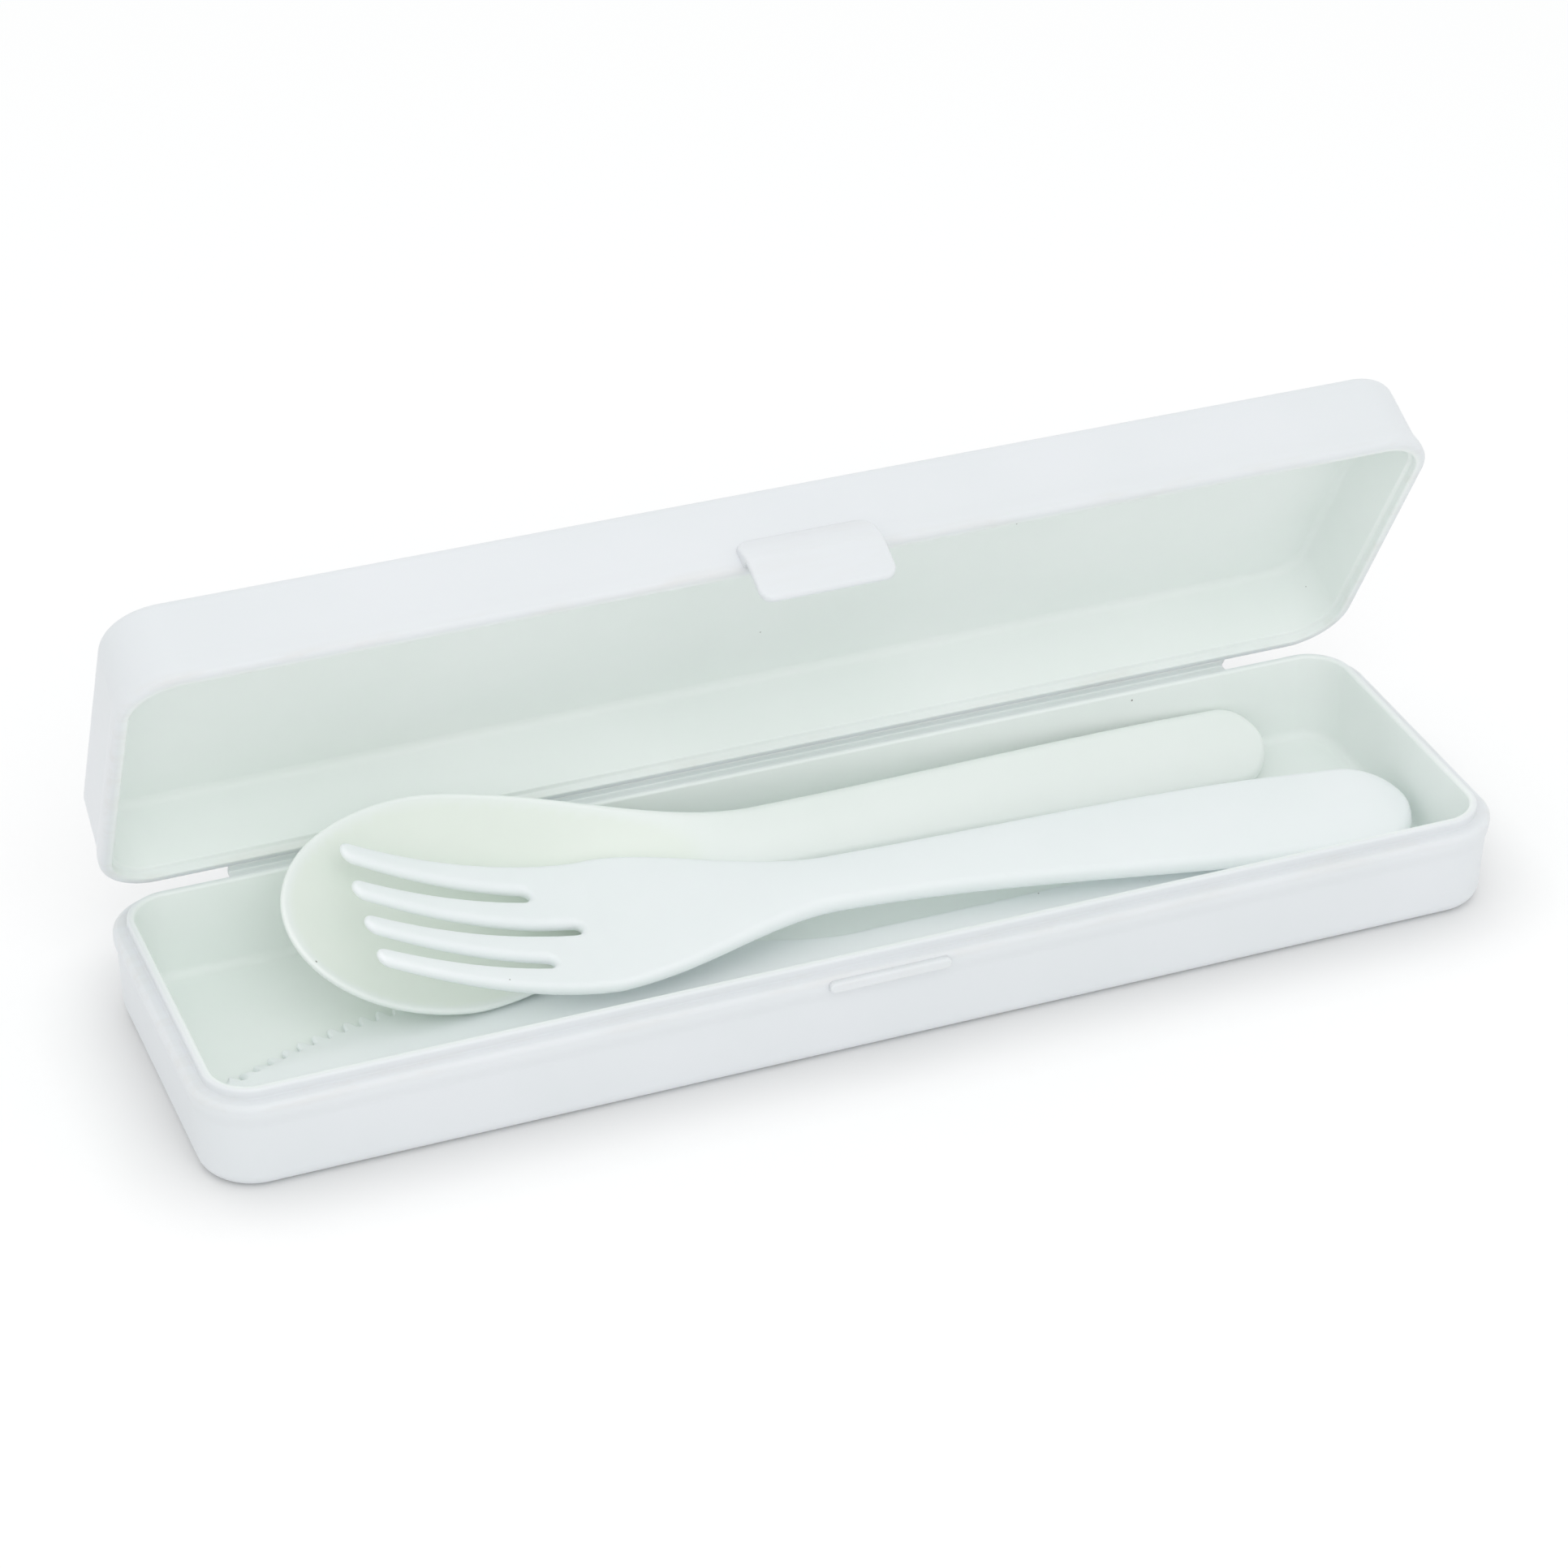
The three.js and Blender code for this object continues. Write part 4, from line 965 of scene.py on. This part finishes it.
# %% Fork
FORK_TILT, FORK_PITCH, FORK_YAW = 10.5, 0.0998, -3.7
tip_in = TINE_TIP / 2 * (1 - np.cos(np.linspace(0, math.pi / 2, 40)))
down = np.concatenate([tip_in, np.arange(TINE_TIP / 2 + 0.2, TINE_LENGTH, 0.2), [TINE_LENGTH]])
x = np.arange(TINE_LENGTH - fork_length + 0.2, -FORK_END / 2, 0.2)
x = np.concatenate([x, turned_end(-FORK_END / 2, 0)])
path = [np.column_stack([x, -fork_half(x)]), np.column_stack([x, fork_half(x)])[-2::-1]]
for index in reversed(range(TINE_COUNT)):
    low, high = tine_sides(index, down)
    path.append(np.column_stack([down - fork_length, high])[::-1])
    path.append(np.column_stack([down - fork_length, low])[1:])
    if index:
        top, bottom = low[-1], tine_sides(index - 1, down)[1][-1]
        radius, centre = (top - bottom) / 2, (top + bottom) / 2
        root = TINE_LENGTH - fork_length + (MIDDLE_SLOT if index == 2 else 0)
        turn = np.linspace(math.pi / 2, -math.pi / 2, 40)
        path.append(np.column_stack([root + radius * np.cos(turn), centre + radius * np.sin(turn)]))
path = np.concatenate(path)
outline = spaced(np.concatenate([path, path[:1]]), 0.42)[:-1]
points, faces = bent_plate(outline, fork_height, fork_thickness, 0.9)
resting = laid(points, FORK_TILT, FORK_PITCH, FORK_YAW, "fork")
put_piece("fork_head_and_handle", resting, faces, CUTLERY_PLASTIC,
          "base", "fork", weighted=False)

# %% [markdown]
# ## Floor
# The picture is high key: a white table with a faint shadow under the case. The light sees a plain pale floor.
# The camera sees one that is just white where nothing stands near, and a little darker close to the case,
# where an Ambient Occlusion node finds that the case hides part of the sky. `seen_by_eye` tells the two apart.

# %% Floor
FLOOR_SIDE, FLOOR_PALE, FLOOR_SEEN, FLOOR_GLOW = 6.0, 0.92, 0.93, 0.05
SHADE_REACH, SHADE_DEPTH, SHADE_SAMPLES = 15 * MM, 0.38, 16


def seen_by_eye(maker):
    rays = maker.node("LightPath")
    camera_ray, glossy_ray = rays.other("Is Camera Ray"), rays.other("Is Glossy Ray")
    either = maker.math("MAXIMUM", camera_ray, glossy_ray)
    return maker.math("MAXIMUM", either, rays.other("Is Transmission Ray"))


corner = FLOOR_SIDE / 2
mesh = bpy.data.meshes.new("floor")
square = [(-corner, -corner, 0), (corner, -corner, 0), (corner, corner, 0), (-corner, corner, 0)]
mesh.from_pydata(square, [], [(0, 1, 2, 3)])
floor = bpy.data.objects.new("floor", mesh)
bpy.context.collection.objects.link(floor)
paper = bpy.data.materials.new("floor_paper")
paper.use_nodes = True
paper.node_tree.nodes.clear()
maker = Value(paper.node_tree)
seen = seen_by_eye(maker)
matt = maker.node("BsdfDiffuse", {}, {"Color": grey(FLOOR_PALE)})
near = maker.node("AmbientOcclusion", {"samples": SHADE_SAMPLES}, {"Distance": SHADE_REACH}, output=1)
toned = (1 - (1 - near) * SHADE_DEPTH).tint(grey(0), grey(FLOOR_SEEN))
glow = maker.node("Emission", {}, {"Color": grey(1), "Strength": FLOOR_GLOW})
both = maker.node("AddShader", {}, {0: maker.node("BsdfDiffuse", {}, {"Color": toned}), 1: glow})
mixed = maker.node("MixShader", {}, {0: seen, 1: matt, 2: both})
maker.node("OutputMaterial", {}, {"Surface": mixed})
mesh.materials.append(paper)
print("floor", FLOOR_SIDE, "m wide,", len(paper.node_tree.nodes), "nodes")

# %% [markdown]
# ## Background
# White plastic in a white room gets most of its light from all round. The world gives that even light, a
# little below full strength, and the camera sees pure white in its place.

# %% World
FILL_COLOUR, FILL_STRENGTH = (0.995, 1.0, 1.0, 1), 0.91
world = bpy.data.worlds.new("studio")
bpy.context.scene.world = world
world.use_nodes = True
world.node_tree.nodes.clear()
maker = Value(world.node_tree)
seen = seen_by_eye(maker)
fill = maker.node("Background", {}, {"Color": FILL_COLOUR, "Strength": FILL_STRENGTH})
white = maker.node("Background", {}, {"Color": grey(1), "Strength": 1.0})
mixed = maker.node("MixShader", {}, {0: seen, 1: fill, 2: white})
maker.node("OutputWorld", {}, {"Surface": mixed})
print("world fill", FILL_STRENGTH)

# %% [markdown]
# ## Lamps
# Two wide, weak lamps give the walls their slightly different tones: one in front and above, one behind and
# higher. They stay at a level where the plastic keeps its own colour. Light bounces many times between white
# walls, so we allow more diffuse bounces than usual, or the inside of the case would look grey.

# %% Lamps
LAMP_AIM, LAMP_SIZE = (0, 0, 0.02), 0.8
DIFFUSE_BOUNCES = 12


def lamp(name, spot, target, size, power):
    data = bpy.data.lights.new(name, "AREA")
    data.shape = "DISK"
    data.size = size
    data.energy = power
    made = bpy.data.objects.new(name, data)
    bpy.context.collection.objects.link(made)
    made.location = spot
    made.rotation_euler = (Vector(target) - Vector(spot)).to_track_quat("-Z", "Y").to_euler()
    print("lamp", name, power, "W at", spot)


lamp("key", (-0.1, -0.72, 0.8), LAMP_AIM, LAMP_SIZE, 1.9)
lamp("top", (-0.1, 0.5, 1.2), LAMP_AIM, LAMP_SIZE, 0.8)
bpy.context.scene.view_settings.view_transform = "Standard"
bpy.context.scene.cycles.diffuse_bounces = DIFFUSE_BOUNCES
